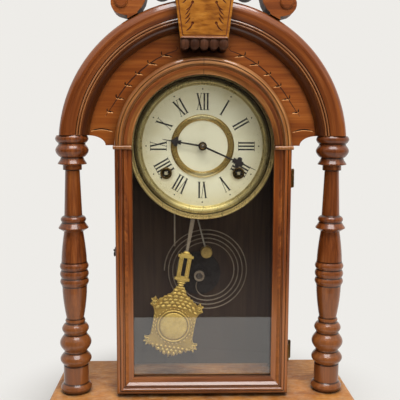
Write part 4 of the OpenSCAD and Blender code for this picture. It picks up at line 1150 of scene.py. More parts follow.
class Finishes:
    """All the finishes of the clock, by the material slots of the part."""

    def __init__(self) -> None:
        """Build every finish once."""
        fx = Effects()
        dark, mid, light = srgb(96, 46, 15), srgb(120, 61, 22), srgb(144, 82, 34)
        creases = tuple((PLACES.column_foot + rise) * MM for rise in PLACES.column_creases)
        # Wood of the base and the columns
        self.base = Wood(
            "walnut_base_board", srgb(150, 90, 40), srgb(190, 124, 60), srgb(216, 156, 88), Grain.BURR,
            seed=0.13, figure=3.0, roughness=0.4, coat=0.12, sheen=0.3, dust=0.25).material(fx)
        self.skirt = Wood(
            "walnut_base_front", srgb(104, 56, 22), srgb(132, 76, 32), srgb(152, 96, 46), Grain.ACROSS,
            seed=0.17, figure=4.0, coat=0.3).material(fx)
        self.base_side = Wood(
            "walnut_base_sides", dark, mid, light, Grain.DEEP, seed=0.31, coat=0.3).material(fx)
        self.turned = Wood(
            "walnut_turned", srgb(84, 40, 14), srgb(112, 57, 21), srgb(138, 78, 33), Grain.UPRIGHT,
            seed=0.47, figure=4.0, roughness=0.3, coat=0.75, sheen=0.17, lacquer=1.5, shade_and_grime=0.9,
            lighter_foot=0.24, creases=creases).material(fx)
        # Wood of the case and the crest
        self.case = Wood(
            "walnut_case_sides", dark, mid, light, Grain.UPRIGHT, seed=0.59, coat=0.08,
            inside=Inside.ROUND).material(fx)
        self.hood = Wood(
            "walnut_bent_hood", dark, mid, light, Grain.BENT, seed=0.61, coat=0.08,
            inside=Inside.ROUND).material(fx)
        self.back = Wood(
            "pine_back_board", srgb(104, 72, 44), srgb(146, 108, 70), srgb(176, 138, 96), Grain.UPRIGHT,
            seed=0.71, figure=7.0, roughness=0.6, coat=0.0, inside=Inside.FRONT).material(fx)
        self.panel = Wood(
            "walnut_panel_veneer", srgb(110, 54, 16), srgb(132, 69, 22), srgb(150, 86, 32), Grain.ACROSS,
            seed=0.83, coat=0.4, raw_back=True).material(fx)
        # The arch gets painted shade in its hollow and painted highlights on its beads.
        self.arch = Wood(
            "walnut_bent_arch", srgb(86, 40, 14), srgb(114, 58, 22), srgb(144, 83, 38), Grain.BENT,
            seed=0.97, figure=4.5, roughness=0.26, coat=0.8, shade_and_grime=0.8, hollow=124.0 * MM,
            bands=(127.1 * MM, 124.7 * MM), raw_back=True).material(fx)
        self.burr = Wood(
            "walnut_burr_key", srgb(110, 60, 11), srgb(144, 88, 22), srgb(166, 109, 37), Grain.BURR,
            seed=1.09, figure=7.0, roughness=0.36, coat=0.2).material(fx)
        # Darker walnut for the keystone's sides and drop: partly the wood, partly painted shade.
        self.shaded_key_side = Wood(
            "walnut_key_sides_shaded", srgb(46, 24, 13), srgb(68, 38, 22), srgb(92, 56, 36), Grain.UPRIGHT,
            seed=1.11, figure=4.0, roughness=0.45, coat=0.12).material(fx)
        self.scroll = Wood(
            "walnut_crest", dark, mid, light, Grain.ACROSS, seed=1.13, figure=4.0, roughness=0.5,
            coat=0.08).material(fx)
        # Wood of the door and the seats
        self.stile = Wood(
            "walnut_door_stiles", srgb(84, 38, 12), srgb(122, 61, 20), srgb(154, 86, 34), Grain.UPRIGHT,
            seed=1.27, figure=4.5, lighter_foot=0.42).material(fx)
        self.rail = Wood(
            "walnut_door_rail", srgb(96, 50, 20), srgb(126, 70, 32), srgb(152, 94, 50), Grain.ACROSS,
            seed=1.31, figure=3.5, roughness=0.24, coat=0.75, sheen=0.3, lacquer=1.75).material(fx)
        self.head = Wood(
            "walnut_door_head", srgb(88, 45, 17), srgb(132, 80, 36), srgb(168, 116, 66), Grain.BENT,
            seed=1.43, figure=4.5, roughness=0.28, coat=0.7, seam=True).material(fx)
        self.bead = Wood(
            "walnut_door_bead", srgb(94, 44, 14), srgb(131, 68, 25), srgb(164, 94, 38), Grain.BENT,
            seed=1.47, figure=4.5, roughness=0.5, coat=0.1, lighter_foot=0.42).material(fx)
        self.seat = Wood(
            "plain_wood_seats", srgb(60, 40, 28), srgb(78, 54, 38), srgb(92, 66, 46), Grain.UPRIGHT,
            seed=1.51, figure=6.0, roughness=0.7, coat=0.0).material(fx)
        # Brass
        self.dark_brass = Metal(
            "dark_brass_fittings", srgb(140, 108, 62), srgb(66, 48, 30), 0.34, amount=0.9).material(fx)
        # The bezel's tones hold a painted highlight at its foot and painted shade towards its top.
        self.bezel_brass = Metal(
            "bezel_brass", srgb(248, 228, 156), srgb(222, 196, 122), 0.2, amount=0.2, metallic=0.55,
            bump=0.002, shade_and_grime=0.3, edge=0.0, rim=71.9 * MM).material(fx)
        # The centre ring gets a painted highlight at its top and bottom.
        self.ring_brass = Metal(
            "centre_ring_brass", srgb(206, 174, 104), srgb(160, 126, 66), 0.14, amount=0.2, scale=40.0,
            metallic=0.75, bump=0.003, shade_and_grime=0.6, edge=0.0, wear_and_glint=26.5 * MM).material(fx)
        self.hole_brass = Metal(
            "winding_hole_brass", srgb(128, 104, 62), srgb(62, 48, 30), 0.4, amount=0.8).material(fx)
        self.movement_brass = Metal(
            "movement_brass", srgb(198, 164, 96), srgb(120, 92, 50), 0.28).material(fx)
        self.bob_brass = Metal(
            "cast_bob_brass", srgb(236, 202, 112), srgb(198, 158, 74), 0.34, amount=0.5, scale=120.0,
            metallic=0.55, bump=0.06, shade_and_grime=0.6).material(fx)
        self.bob_ground = Metal(
            "cast_bob_ground", srgb(204, 168, 82), srgb(164, 126, 52), 0.45, amount=0.5, scale=120.0,
            metallic=0.5, bump=0.1, shade_and_grime=0.6).material(fx)
        # Steel and iron
        self.hammer = Metal(
            "hammer_wire_and_head", srgb(190, 180, 164), srgb(140, 128, 112), 0.32, amount=0.7,
            metallic=0.5, spot=(6.2 * MM, 184.7 * MM, 7.4 * MM)).material(fx)
        self.steel = Metal(
            "grey_steel", srgb(158, 150, 142), srgb(92, 80, 70), 0.32, amount=0.7).material(fx)
        self.winding = Metal(
            "winding_square_steel", srgb(214, 200, 164), srgb(160, 140, 104), 0.3, amount=0.5,
            metallic=0.5, shade_and_grime=0.2).material(fx)
        self.gong_steel = Metal(
            "blued_gong_steel", srgb(166, 150, 130), srgb(116, 98, 80), 0.24, metallic=0.4,
            shade_and_grime=0.2).material(fx)
        self.iron = Metal(
            "cast_iron", srgb(44, 42, 40), srgb(30, 27, 25), 0.5, amount=0.8, scale=200.0, metallic=0.3,
            bump=0.1).material(fx)
        self.hand = Metal(
            "blackened_steel", srgb(56, 50, 49), srgb(36, 31, 30), 0.36, amount=0.7, scale=90.0,
            metallic=0.4).material(fx)
        # Paint, carved cuts and glass
        self.paint = DialPaint().material()
        self.ink = Ink("numeral_black", srgb(40, 38, 40), srgb(112, 106, 94)).material()
        # Carved cuts: dark, with a painted highlight on walls that look up.
        self.groove = Ink(
            "dark_carving", srgb(44, 20, 8), srgb(70, 34, 13), 0.55, painted_highlight=srgb(206, 146, 88)).material()
        self.key_groove = Ink(
            "dark_key_carving", srgb(84, 36, 8), srgb(118, 58, 16), 0.55).material()
        self.glass = DoorGlass().material()

    def by_node(self) -> dict[str, bpy.types.Material]:
        """Say which finish each solid of the frame gets.

        Returns:
            Node name to material.
        """
        groups: list[tuple[bpy.types.Material, str]] = [
            (self.base, "base_board"), (self.skirt, "base_skirt_front base_back_rail"),
            (self.base_side, "base_skirt_sides"),
            (self.turned, "column_left column_right"),
            (self.case, "case_sides"), (self.hood, "case_hood"), (self.back, "back_board"),
            (self.panel, "front_panel"), (self.arch, "arch_moulding"), (self.burr, "keystone"),
            (self.scroll, "crest_scroll_left crest_scroll_right crest_cap"),
            (self.stile, "door_stile_left door_stile_right"), (self.rail, "door_bottom_rail"),
            (self.head, "door_arch door_impost_beads"), (self.seat, "movement_seats glass_retainer"),
            (self.glass, "door_glass"),
            (self.dark_brass, "hinge_case_leaves hinge_door_leaves hinge_pins"),
            (self.hand, "latch_screw latch_hook latch_pin"),
            (self.paint, "dial_pan"), (self.bezel_brass, "dial_bezel"), (self.ring_brass, "dial_centre_ring"),
            (self.hole_brass, "winding_grommets"),
            (self.hand, "minute_hand hour_hand"),
            (self.movement_brass, "movement_back_plate movement_front_plate centre_arbor"),
            (self.movement_brass, "hour_wheel minute_wheel centre_wheel time_great_wheel time_second_wheel"),
            (self.movement_brass, "time_third_wheel escape_wheel strike_great_wheel strike_second_wheel"),
            (self.movement_brass, "strike_fly"),
            (self.steel, "plate_pillars movement_fasteners mainsprings verge"),
            (self.winding, "time_winding_arbor strike_winding_arbor"),
            (self.gong_steel, "gong_coil pendulum_rod trip_wire"),
            (self.iron, "gong_stand"), (self.hammer, "hammer"), (self.bob_brass, "pendulum_bob"),
        ]
        return {node: material for material, names in groups for node in names.split()}


# The clock's own pieces


@dataclass
class CarvedPanel:
    """The front panel with its incised vine on both sides of the keystone.

    Attributes:
        finishes: all finishes.
        stem_radius, stem_flare, stem_wave: the stem's radius round the dial, how far its foot
            turns out, and how far it waves.
        stem_width, leaf_width, chip_width: widths of the cuts.
        leaf_out, leaf_in: lengths of the leaves on the outer and the inner side of the stem.
        first, last: angles above the horizontal at which the stem begins and ends.
        leaves, leaf_first, leaf_step: number of leaf pairs, the first one's angle and the step.
        foot: ends of the curved cut below the vine.
    """

    finishes: Finishes
    stem_radius: float = 99.4 * MM
    stem_flare: float = 4.6 * MM
    stem_wave: float = 0.6 * MM
    stem_width: float = 1.25 * MM
    leaf_width: float = 1.3 * MM
    chip_width: float = 1.9 * MM
    leaf_out: float = 5.0 * MM
    leaf_in: float = 10.4 * MM
    first: float = 17.0
    last: float = 74.0
    leaves: int = 6
    leaf_first: float = 19.5
    leaf_step: float = 9.2
    foot: tuple[Flat, Flat] = ((91.5 * MM, 320.2 * MM), (114.5 * MM, 321.0 * MM))

    def stem(self, angle: float) -> float:
        """Give the stem's radius at an angle (degrees) above the horizontal."""
        low = max(0.0, 30.0 - angle) / 14.0
        wave = math.sin(math.radians(angle * 6))
        return self.stem_radius + self.stem_flare * low * low + self.stem_wave * wave

    def build(self, node: bpy.types.Object) -> bpy.types.Object:
        """Carve the panel.

        Args:
            node: the frame's solid.

        Returns:
            The carved board.
        """
        carver = Carver(node, "panel_carved")
        for side in (1, -1):
            self._vine(carver.knife, side)
            start, end = ((side * x, z) for x, z in self.foot)
            arc = bow(start, end, side * 2.6 * MM, 11)
            carver.knife.groove(arc, taper(11, self.chip_width), PLACES.panel_face, 0.6, side * 0.5)
        return carver.cut(self.finishes.panel, self.finishes.groove)

    def _vine(self, knife: Draft, side: int) -> None:
        """Draw one side's stem, hook and leaves with the knife."""
        def at(radius: float, angle: float) -> Flat:
            """Give a point round the dial, on this side."""
            x, z = PLACES.round_dial(radius, angle)
            return side * x, z
        angles = [self.first + (self.last - self.first) * i / 36 for i in range(37)]
        top = self.stem(self.last)
        path = [at(self.stem(angle), angle) for angle in angles]
        path += [at(top + 2.2 * MM, self.last + 1.6), at(top + 4.2 * MM, self.last + 0.4)]
        knife.groove(path, taper(len(path), self.stem_width, (0.25, 0.3)), PLACES.panel_face, 0.2)
        for i in range(self.leaves):
            angle = self.leaf_first + self.leaf_step * i
            root = at(self.stem(angle), angle)
            wild = 0.85 + 0.15 * math.sin(i * 1.7)
            tip = (root[0] + side * 0.8 * MM, root[1] + self.leaf_out * wild)
            leaf = bow(root, tip, side * -0.5 * MM, 7)
            knife.groove(leaf, taper(7, self.leaf_width, (0.45, 0.1)), PLACES.panel_face)
            reach = self.leaf_in * wild * (0.62 + 0.076 * i)
            chip = bow(root, (root[0] - side * reach, root[1] - 0.12 * reach), side * -0.7 * MM, 7)
            knife.groove(chip, taper(7, self.chip_width, (0.35, 0.1)), PLACES.panel_face, 0.6, side * -0.5)


@dataclass
class CarvedKey:
    """The keystone with its incised border, two rows of leaf sprigs and a gadrooned drop.

    Attributes:
        finishes: all finishes.
        low, height: its lower edge and its height.
        half, flare: half its width at the lower edge, and how fast it widens.
        margin: the border's distance from the edge.
        sprigs: heights of the sprigs above the lower edge, in millimetres.
        leaves: lower and upper end of each leaf above the sprig's foot, in millimetres.
        lobes: number of lobes of the drop.
    """

    finishes: Finishes
    low: float = 410.6 * MM
    height: float = 73.0 * MM
    half: float = 23.25 * MM
    flare: float = 0.127
    margin: float = 2.6 * MM
    sprigs: tuple[float, ...] = (6.7, 26.0, 45.3)
    leaves: tuple[Flat, ...] = ((6.4, 12.2), (10.6, 16.6), (14.8, 21.0))
    lobes: int = 5

    def edge(self, rise: float) -> float:
        """Give the border line's distance from the middle at a height above the lower edge."""
        return self.half + self.flare * rise - self.margin

    def build(self, node: bpy.types.Object) -> bpy.types.Object:
        """Carve the keystone.

        Args:
            node: the frame's solid.

        Returns:
            The carved block.
        """
        carver = Carver(node, "keystone_carved")
        knife, face = carver.knife, PLACES.key_face
        foot, head = self.margin, self.height - self.margin
        frame = [(-self.edge(foot), self.low + foot), (self.edge(foot), self.low + foot),
                 (self.edge(head), self.low + head), (-self.edge(head), self.low + head)]
        for start, end in zip(frame, [*frame[1:], frame[0]]):
            knife.groove(bow(start, end, 0.0, 3), [1.0 * MM] * 3, face, 0.5)
        for side in (1, -1):
            for rise in self.sprigs:
                self._sprig(knife, side, rise * MM)
        return carver.cut(self.finishes.burr, self.finishes.key_groove, self.finishes.shaded_key_side)

    def gadroons(self) -> bpy.types.Object:
        """Turn the lip and the rounded lobes of the drop.

        Returns:
            Lobes and lip, as one piece.
        """
        draft = Draft()
        lobe = self.half / self.lobes
        for i in range(self.lobes):
            x = (2 * i + 1 - self.lobes) * lobe
            place = Vector((x, PLACES.key_face + 2.2 * MM, self.low - 4.7 * MM))
            draft.bead(place, (lobe * 0.99, 2.1 * MM, 5.9 * MM), 0.0, 10, 18)
        first = len(draft.faces)
        level = PLACES.key_face + 0.1 * MM
        lip = [Vector((x * MM, level, self.low + 0.5 * MM)) for x in (-22.4, -11.0, 11.0, 22.4)]
        draft.tube(lip, [0.75 * MM] * len(lip), 10)
        # The lobes take the darker walnut, partly painted shade; the lip takes the glossy rail finish.
        return draft.piece("keystone_gadroons", self.finishes.shaded_key_side, self.finishes.rail, second=first)

    def _sprig(self, knife: Draft, side: int, rise: float) -> None:
        """Cut a hooked stroke with a pricked dot, and three slanted leaves above it."""
        foot = self.low + rise
        hook = bow((side * 17.8 * MM, foot), (side * 11.7 * MM, foot + 7.3 * MM), side * 1.3 * MM, 9)
        knife.groove(hook, taper(9, 1.5 * MM, (0.2, 0.8)), PLACES.key_face)
        dot = [(0.0, -1.4 * MM), (1.5 * MM, 0.0), (1.9 * MM, 0.4 * MM)]
        knife.turned(Vector((side * 11.4 * MM, PLACES.key_face, foot + 7.4 * MM)), dot, 12)
        drift = side * self.flare * (rise - self.sprigs[0] * MM)
        for low, high in self.leaves:
            stroke = bow((side * 18.6 * MM + drift, foot + low * MM),
                         (side * 13.9 * MM + drift, foot + high * MM), side * 0.5 * MM, 7)
            knife.groove(stroke, taper(7, 1.3 * MM, (0.25, 0.6)), PLACES.key_face)


@dataclass
class DialPrint:
    """Numerals and dots printed on the dial.

    Attributes:
        finishes: all finishes.
        inner, outer: radii of the numerals' feet and heads.
        thick, thin, serif: widths of the strokes, and height of the serifs.
        lean: how far the slanted strokes lean to each side.
        dots: radius of the ring of dots.
        words: the numerals, clockwise from the top.
    """

    finishes: Finishes
    inner: float = 37.6 * MM
    outer: float = 55.2 * MM
    thick: float = 1.75 * MM
    thin: float = 0.6 * MM
    serif: float = 0.5 * MM
    lean: float = 2.1 * MM
    dots: float = 59.4 * MM
    words: tuple[str, ...] = (
        "XII", "I", "II", "III", "IIII", "V", "VI", "VII", "VIII", "IX", "X", "XI")

    def build(self) -> bpy.types.Object:
        """Print everything as one thin piece.

        Returns:
            The print.
        """
        draft = Draft()
        for hour, word in enumerate(self.words):
            self._word(draft, word, math.radians(30 * hour))
        for minute in range(60):
            self._dot(draft, math.radians(6 * minute), (0.8 if minute % 5 == 0 else 0.28) * MM)
        return draft.piece("dial_numerals", self.finishes.ink)

    @staticmethod
    def _shape(draft: Draft, turn: float, corners: Sequence[Flat]) -> None:
        """Print one flat shape, given across a clock angle and out along it."""
        sine, cosine = math.sin(turn), math.cos(turn)
        outline = [
            (out * sine + across * cosine, PLACES.dial_z + out * cosine - across * sine)
            for across, out in corners
        ]
        draft.slab(outline, PLACES.dial_face - 0.05 * MM, PLACES.dial_face + 0.03 * MM)

    def _dot(self, draft: Draft, turn: float, size: float) -> None:
        """Print one round dot."""
        ways = [k * math.pi / 5 for k in range(10)]
        corners = [(size * math.cos(way), self.dots + size * math.sin(way)) for way in ways]
        self._shape(draft, turn, corners)

    def _stroke(self, draft: Draft, turn: float, low: float, high: float, width: float) -> None:
        """Print a stroke whose foot is at low and head at high, with a serif at both ends."""
        half = width / 2
        self._shape(draft, turn, [(low - half, self.inner), (low + half, self.inner),
                                  (high + half, self.outer), (high - half, self.outer)])
        wide = half + 0.8 * MM
        for across, out in ((low, self.inner), (high, self.outer - self.serif)):
            top = out + self.serif
            self._shape(draft, turn, [(across - wide, out), (across + wide, out),
                                      (across + wide, top), (across - wide, top)])

    def _word(self, draft: Draft, word: str, turn: float) -> None:
        """Print one numeral, with its foot towards the middle of the dial."""
        widths = {"I": 3.5 * MM, "V": 6.6 * MM, "X": 7.0 * MM}
        shift = 0.3 * MM
        across = -sum(widths[letter] for letter in word) / 2
        for letter in word:
            middle = across + widths[letter] / 2
            left, right = middle - self.lean, middle + self.lean
            if letter == "I":
                self._stroke(draft, turn, middle, middle, self.thick)
            elif letter == "V":
                self._stroke(draft, turn, middle + shift, left, self.thick)
                self._stroke(draft, turn, middle + shift, right + shift, self.thin)
            else:
                self._stroke(draft, turn, right, left, self.thick)
                self._stroke(draft, turn, left, right, self.thin)
            across += widths[letter]


@dataclass
class GongCoil:
    """The gong: one smooth steel wire wound in a flat spiral from its stand.

    Attributes:
        finishes: all finishes.
        centre: X and Z of the spiral's centre.
        boss: how far the stand's boss lies from there.
        level: Y of the spiral.
        wire: the wire's radius.
        start, step, turns: the spiral's first radius, its growth in a turn, and its turns.
        bend: radius of the bend that leads from the boss into the spiral.
        nut_level, nut_profile: Y of the nut, and its radii and heights in millimetres.
    """

    finishes: Finishes
    centre: Flat = (6.6 * MM, 162.3 * MM)
    boss: Flat = (-8.5 * MM, -5.5 * MM)
    level: float = 38.5 * MM
    wire: float = 0.62 * MM
    start: float = 30.5 * MM
    step: float = 4.8 * MM
    turns: float = 3.75
    bend: float = 12.0 * MM
    nut_level: float = 34.5 * MM
    nut_profile: tuple[Flat, ...] = (
        (6.3, -0.2), (6.3, 1.2), (5.8, 1.8), (3.9, 1.8), (3.5, 1.2), (3.4, 0.2))

    def build(self) -> bpy.types.Object:
        """Wind the wire.

        Returns:
            The gong.
        """
        def ray(angle: float) -> Vector:
            """Give the direction at an angle (degrees)."""
            turn = math.radians(angle)
            return Vector((math.cos(turn), math.sin(turn)))
        middle = Vector(self.centre)
        boss = Vector((self.centre[0] + self.boss[0], self.centre[1] + self.boss[1]))
        hub = Vector((self.centre[0], self.centre[1] + self.bend - self.start))
        way = boss - hub
        first = math.degrees(math.atan2(way.y, way.x) + math.acos(self.bend / way.length))
        touch = hub + self.bend * ray(first)
        line = [boss.lerp(touch, i / 8) for i in range(8)]
        line += [hub + self.bend * ray(first + (270 - first) * i / 16) for i in range(17)]
        for i in range(1, round(self.turns * 72) + 1):
            line.append(middle + (self.start + self.step * i / 72) * ray(270 + 5 * i))
        draft = Draft()
        path = [Vector((p.x, self.level, p.y)) for p in line]
        draft.tube(path, [self.wire] * len(path), 10)
        return draft.piece("gong_wire", self.finishes.gong_steel)

    def nut(self) -> bpy.types.Object:
        """Turn the round nut that holds the wire in its stand.

        Returns:
            The nut.
        """
        draft = Draft()
        place = Vector((self.centre[0] + self.boss[0], self.nut_level, self.centre[1] + self.boss[1]))
        draft.turned(place, [(radius * MM, out * MM) for radius, out in self.nut_profile], 40)
        return draft.piece("gong_nut", self.finishes.gong_steel)


@dataclass
class CastBob:
    """The pendulum's cast bob: a slotted frame, knops, and an ornamented plate with a disc.

    Attributes:
        finishes: all finishes.
        reach: distance from the pendulum's pivot to the disc's centre.
        middle: Y of the plate's middle.
        disc: the disc's radius.
        plate: Y of the plate's front, from its middle.
        bead_level, leaf_level: Y of the beads and scales, and of the scrolls and leaves.
        clear: radius round the disc that the scales keep out of, in millimetres.
    """

    finishes: Finishes
    reach: float = 241.0 * MM
    middle: float = 1.6 * MM
    disc: float = 15.2 * MM
    plate: float = -1.2 * MM
    bead_level: float = -1.5 * MM
    leaf_level: float = -1.4 * MM
    clear: float = 22.2

    def build(self) -> tuple[bpy.types.Object, bpy.types.Object]:
        """Cast the bob in its own frame and hang it on the leaning rod.

        Returns:
            The plate with its slotted frame, and the raised ornament on it.
        """
        ground, relief = Draft(), Draft()
        self._plate(ground)
        self._medal(relief)
        self._scales(relief)
        self._scrolls(relief)
        self._neck(relief)
        return (self._hang(ground, "bob_casting", self.finishes.bob_ground),
                self._hang(relief, "bob_relief", self.finishes.bob_brass))

    def _hang(self, draft: Draft, name: str, finish: bpy.types.Material) -> bpy.types.Object:
        """Carry a draft to the end of the leaning rod and make it a piece."""
        down = Vector((-math.sin(PLACES.lean), 0, -math.cos(PLACES.lean)))
        centre = Vector((PLACES.pivot[0], self.middle, PLACES.pivot[1])) + down * self.reach
        place = Matrix.Translation(centre) @ Matrix.Rotation(PLACES.lean, 4, "Y")
        return draft.moved(place).piece(name, finish, sharp=50)

    def _plate(self, draft: Draft) -> None:
        """Draw the plate's outline, with its leafy ears and its fringe."""
        half = [
            (4.5, 43), (6.6, 41), (7.4, 38), (9.6, 35.2), (12.2, 34.4), (13.4, 32.2), (15.8, 32),
            (17, 29.4), (19.8, 28.6), (21.6, 26), (23.4, 27.6), (25, 30.2), (26.2, 27.4), (29, 26.6),
            (27.4, 23.6), (29.2, 21), (26.4, 19.4), (24.6, 16), (23.4, 12), (23, 0), (23.4, -12),
            (24.4, -15.4), (27, -16.6), (29.6, -15.8), (28.4, -19.2), (30, -22), (27, -22.4),
            (26.8, -26), (24, -23.8), (22, -25.4), (20.6, -23.8), (18.6, -28), (16.4, -25.8),
            (14, -30.2), (11.8, -27.6), (9.4, -32.2), (7, -29.8), (4.4, -34.4), (2.2, -31.8), (0, -36.2)]
        outline = [(x * MM, z * MM) for x, z in half]
        outline += [(-x, z) for x, z in reversed(outline) if x > 0]
        draft.slab(outline, self.plate, 1.4 * MM)
        rim = [Vector((x * 0.965, self.plate, z * 0.965)) for x, z in outline]
        draft.tube([*rim, rim[0]], [0.62 * MM] * (len(rim) + 1), 6)

    def _medal(self, draft: Draft) -> None:
        """Draw the disc in its ring, and the beads round them."""
        disc = self.disc
        draft.turned(Vector((0, 0, 0)), [
            (disc, 0.8 * MM), (disc, 1.5 * MM), (disc - 0.5 * MM, 2.3 * MM), (disc - 1.6 * MM, 2.7 * MM),
            (disc * 0.5, 3.0 * MM), (0, 3.1 * MM)], 64)
        ring, row = disc + 1.9 * MM, disc + 4.5 * MM
        ways = [i * math.pi / 36 for i in range(73)]
        path = [Vector((ring * math.cos(way), -1.7 * MM, ring * math.sin(way))) for way in ways]
        draft.tube(path, [0.95 * MM] * len(path), 10)
        for i in range(28):
            turn = 2 * math.pi * (i + 0.5) / 28
            place = Vector((row * math.cos(turn), self.bead_level, row * math.sin(turn)))
            draft.bead(place, (0.9 * MM, 1.0 * MM, 1.25 * MM), -turn, 6, 10)

    def _scales(self, draft: Draft) -> None:
        """Lay rows of raised scales over the shoulders and the fringe."""
        def lay(x: float, z: float, size: Spot, tilt: float) -> None:
            """Lay one scale, given in millimetres and degrees, where it clears the disc."""
            if math.hypot(x, z) > self.clear:
                place = Vector((x * MM, self.bead_level, z * MM))
                draft.bead(place, (size[0] * MM, size[1] * MM, size[2] * MM), math.radians(tilt), 6, 10)
        shoulders = [
            (40.4, 4.2, 2), (37.0, 5.2, 3), (33.4, 9.6, 4), (29.8, 14.0, 6), (26.2, 18.4, 7), (22.6, 21.0, 8)]
        for z, wide, count in shoulders:
            for k in range(count):
                x = wide * (2 * k / (count - 1) - 1)
                wild = 0.85 + 0.3 * abs(math.sin(7.3 * x + 3.1 * z))
                tilt = x * 1.6 + 14 * math.sin(5.7 * x - 2.3 * z)
                lay(x, z - 0.010 * x * x, (2.7 * wild, 1.2 * wild, 1.4 * wild), tilt)
        for z, wide, count, tall in ((-24.0, 19.0, 9, 1.5), (-27.8, 12.4, 6, 1.8), (-31.0, 5.6, 3, 2.0)):
            for k in range(count):
                x = wide * (2 * k / (count - 1) - 1)
                lay(x, z, (1.7, 1.15, tall), -x * 1.2)

    def _curl(self, draft: Draft, centre: Flat, size: float, start: float, sweep: float,
              thick: float) -> None:
        """Draw a raised scroll that winds in towards its eye."""
        path, radii = [], []
        for i in range(21):
            part = i / 20
            turn = math.radians(start + sweep * part)
            radius = size * (1 - 0.72 * part)
            path.append(Vector((centre[0] + radius * math.cos(turn), self.leaf_level,
                                centre[1] + radius * math.sin(turn))))
            radii.append(thick * (0.75 + 0.45 * math.sin(math.pi * part)))
        draft.tube(path, radii, 8)
        eye = path[-1] + Vector((0, -0.4 * MM, 0))
        draft.bead(eye, (thick * 1.4, thick * 1.3, thick * 1.4), 0, 6, 10)

    def _scrolls(self, draft: Draft) -> None:
        """Draw the raised scrolls and leaves of the four ears and the sides."""
        curls = [((24.6, 22.6), 150, -400), ((25.2, -19.4), 190, 400)]
        leaves = [
            ((25.0, 27.8), 2.0, 0.9, 0.0), ((27.6, 25.6), 1.9, 0.8, 0.9), ((27.8, 20.9), 1.6, 0.8, 1.7),
            ((28.2, -17.4), 1.7, 0.8, 1.2), ((28.4, -21.4), 1.7, 0.8, 1.9), ((26.0, -24.4), 1.8, 0.8, 2.7)]
        leaves += [((21.9, 11.4 - 3.8 * k), 1.5, 0.9, 0.5) for k in range(7)]
        for side in (1, -1):
            for (x, z), start, sweep in curls:
                begin, swing = (start, sweep) if side > 0 else (180 - start, -sweep)
                self._curl(draft, (side * x * MM, z * MM), 3.0 * MM, begin, swing, 0.85 * MM)
            for (x, z), long, wide, tilt in leaves:
                place = Vector((side * x * MM, self.leaf_level, z * MM))
                draft.bead(place, (wide * MM, 1.1 * MM, long * MM), side * tilt, 6, 10)

    def _neck(self, draft: Draft) -> None:
        """Draw the knops and the slotted frame that the rod hooks into."""
        for z, wide, tall in ((43.6, 5.2, 1.4), (46.4, 3.6, 1.7), (49.2, 4.8, 1.5), (51.4, 6.4, 1.2)):
            draft.bead(Vector((0, 0, z * MM)), (wide * MM, 2.3 * MM, tall * MM), 0, 8, 16)
        bars = [
            (-6.6, 53, -2.1, 79, 1.5), (2.1, 53, 6.6, 79, 1.5), (-2.1, 53, 2.1, 56.4, 1.5),
            (-2.1, 77, 2.1, 79, 1.5), (-8.2, 52.2, 8.2, 54.4, 2.2), (-8.4, 77.6, 8.4, 80, 2.2),
            (-5.6, 80, 5.6, 81.6, 2.2)]
        for x0, z0, x1, z1, deep in bars:
            corners = [(x0 * MM, z0 * MM), (x1 * MM, z0 * MM), (x1 * MM, z1 * MM), (x0 * MM, z1 * MM)]
            draft.slab(corners, -deep * MM, deep * MM)
        for x in (-6.0, -2.7, 2.7, 6.0):
            rib = [Vector((x * MM, self.bead_level, z * MM)) for z in (54.4, 60.0, 66.0, 72.0, 77.6)]
            draft.tube(rib, [0.6 * MM] * 5, 8)
        for x in (-4.35, 4.35):
            for k in range(8):
                place = Vector((x * MM, self.bead_level, (56.4 + 2.75 * k) * MM))
                draft.bead(place, (0.85 * MM, 0.8 * MM, 1.05 * MM), 0, 6, 8)
        draft.bead(Vector((0, 0, 82.4 * MM)), (4.0 * MM, 2.1 * MM, 2.0 * MM), 0, 8, 14)


@dataclass
class DoorBead:
    """The thin bead that runs round the inner slope of the door's frame.

    Attributes:
        finishes: all finishes.
        half, low, face: half the door's width, its lower edge and Y of its front.
        section: distances from the door's edge and behind its front, in millimetres.
    """

    finishes: Finishes
    half: float = 89.0 * MM
    low: float = 48.5 * MM
    face: float = -43.5 * MM
    section: tuple[Flat, ...] = (
        (8.7, 3.5), (9.0, 2.6), (9.6, 2.0), (10.2, 2.0), (12.5, 4.35), (12.5, 5.3), (8.7, 5.3))

    def build(self) -> bpy.types.Object:
        """Sweep the bead's section round the door.

        Returns:
            The bead, as one piece.
        """
        edge: list[tuple[Flat, Flat]] = [
            ((-self.half, self.low), (1.0, 1.0)), ((-self.half, PLACES.dial_z), (1.0, 0.0))]
        for step in range(1, 60):
            turn = math.radians(180 - 3 * step)
            edge.append((PLACES.round_dial(self.half, 180 - 3 * step), (-math.cos(turn), -math.sin(turn))))
        edge += [((self.half, PLACES.dial_z), (-1.0, 0.0)), ((self.half, self.low), (-1.0, 1.0))]
        points = [(x + way[0] * u * MM, self.face + d * MM, z + way[1] * u * MM)
                  for (x, z), way in edge for u, d in self.section]
        count, rows = len(self.section), len(edge)
        faces = [[i * count + k, (i + 1) % rows * count + k, (i + 1) % rows * count + (k + 1) % count,
                  i * count + (k + 1) % count] for i in range(rows) for k in range(count)]
        draft = Draft()
        draft.add(points, faces)
        return draft.piece("door_bead", self.finishes.bead, self.finishes.rail, sharp=35,
                           second=(rows - 1) * count)


@dataclass
class BezelTurning:
    """The fine rings turned on the dial's bezel, each with its radius, half thickness and level."""

    finishes: Finishes
    rings: tuple[Spot, ...] = ((64.6, 0.6, -7.0), (73.4, 0.8, -6.3), (76.4, 0.9, -6.2))

    def build(self) -> bpy.types.Object:
        """Turn the rings.

        Returns:
            The rings, as one piece.
        """
        draft = Draft()
        for radius, half, level in self.rings:
            spots = [PLACES.round_dial(radius * MM, 3.75 * i) for i in range(97)]
            draft.tube([Vector((x, level * MM, z)) for x, z in spots], [half * MM] * 97, 8)
        return draft.piece("bezel_turning", self.finishes.bezel_brass)


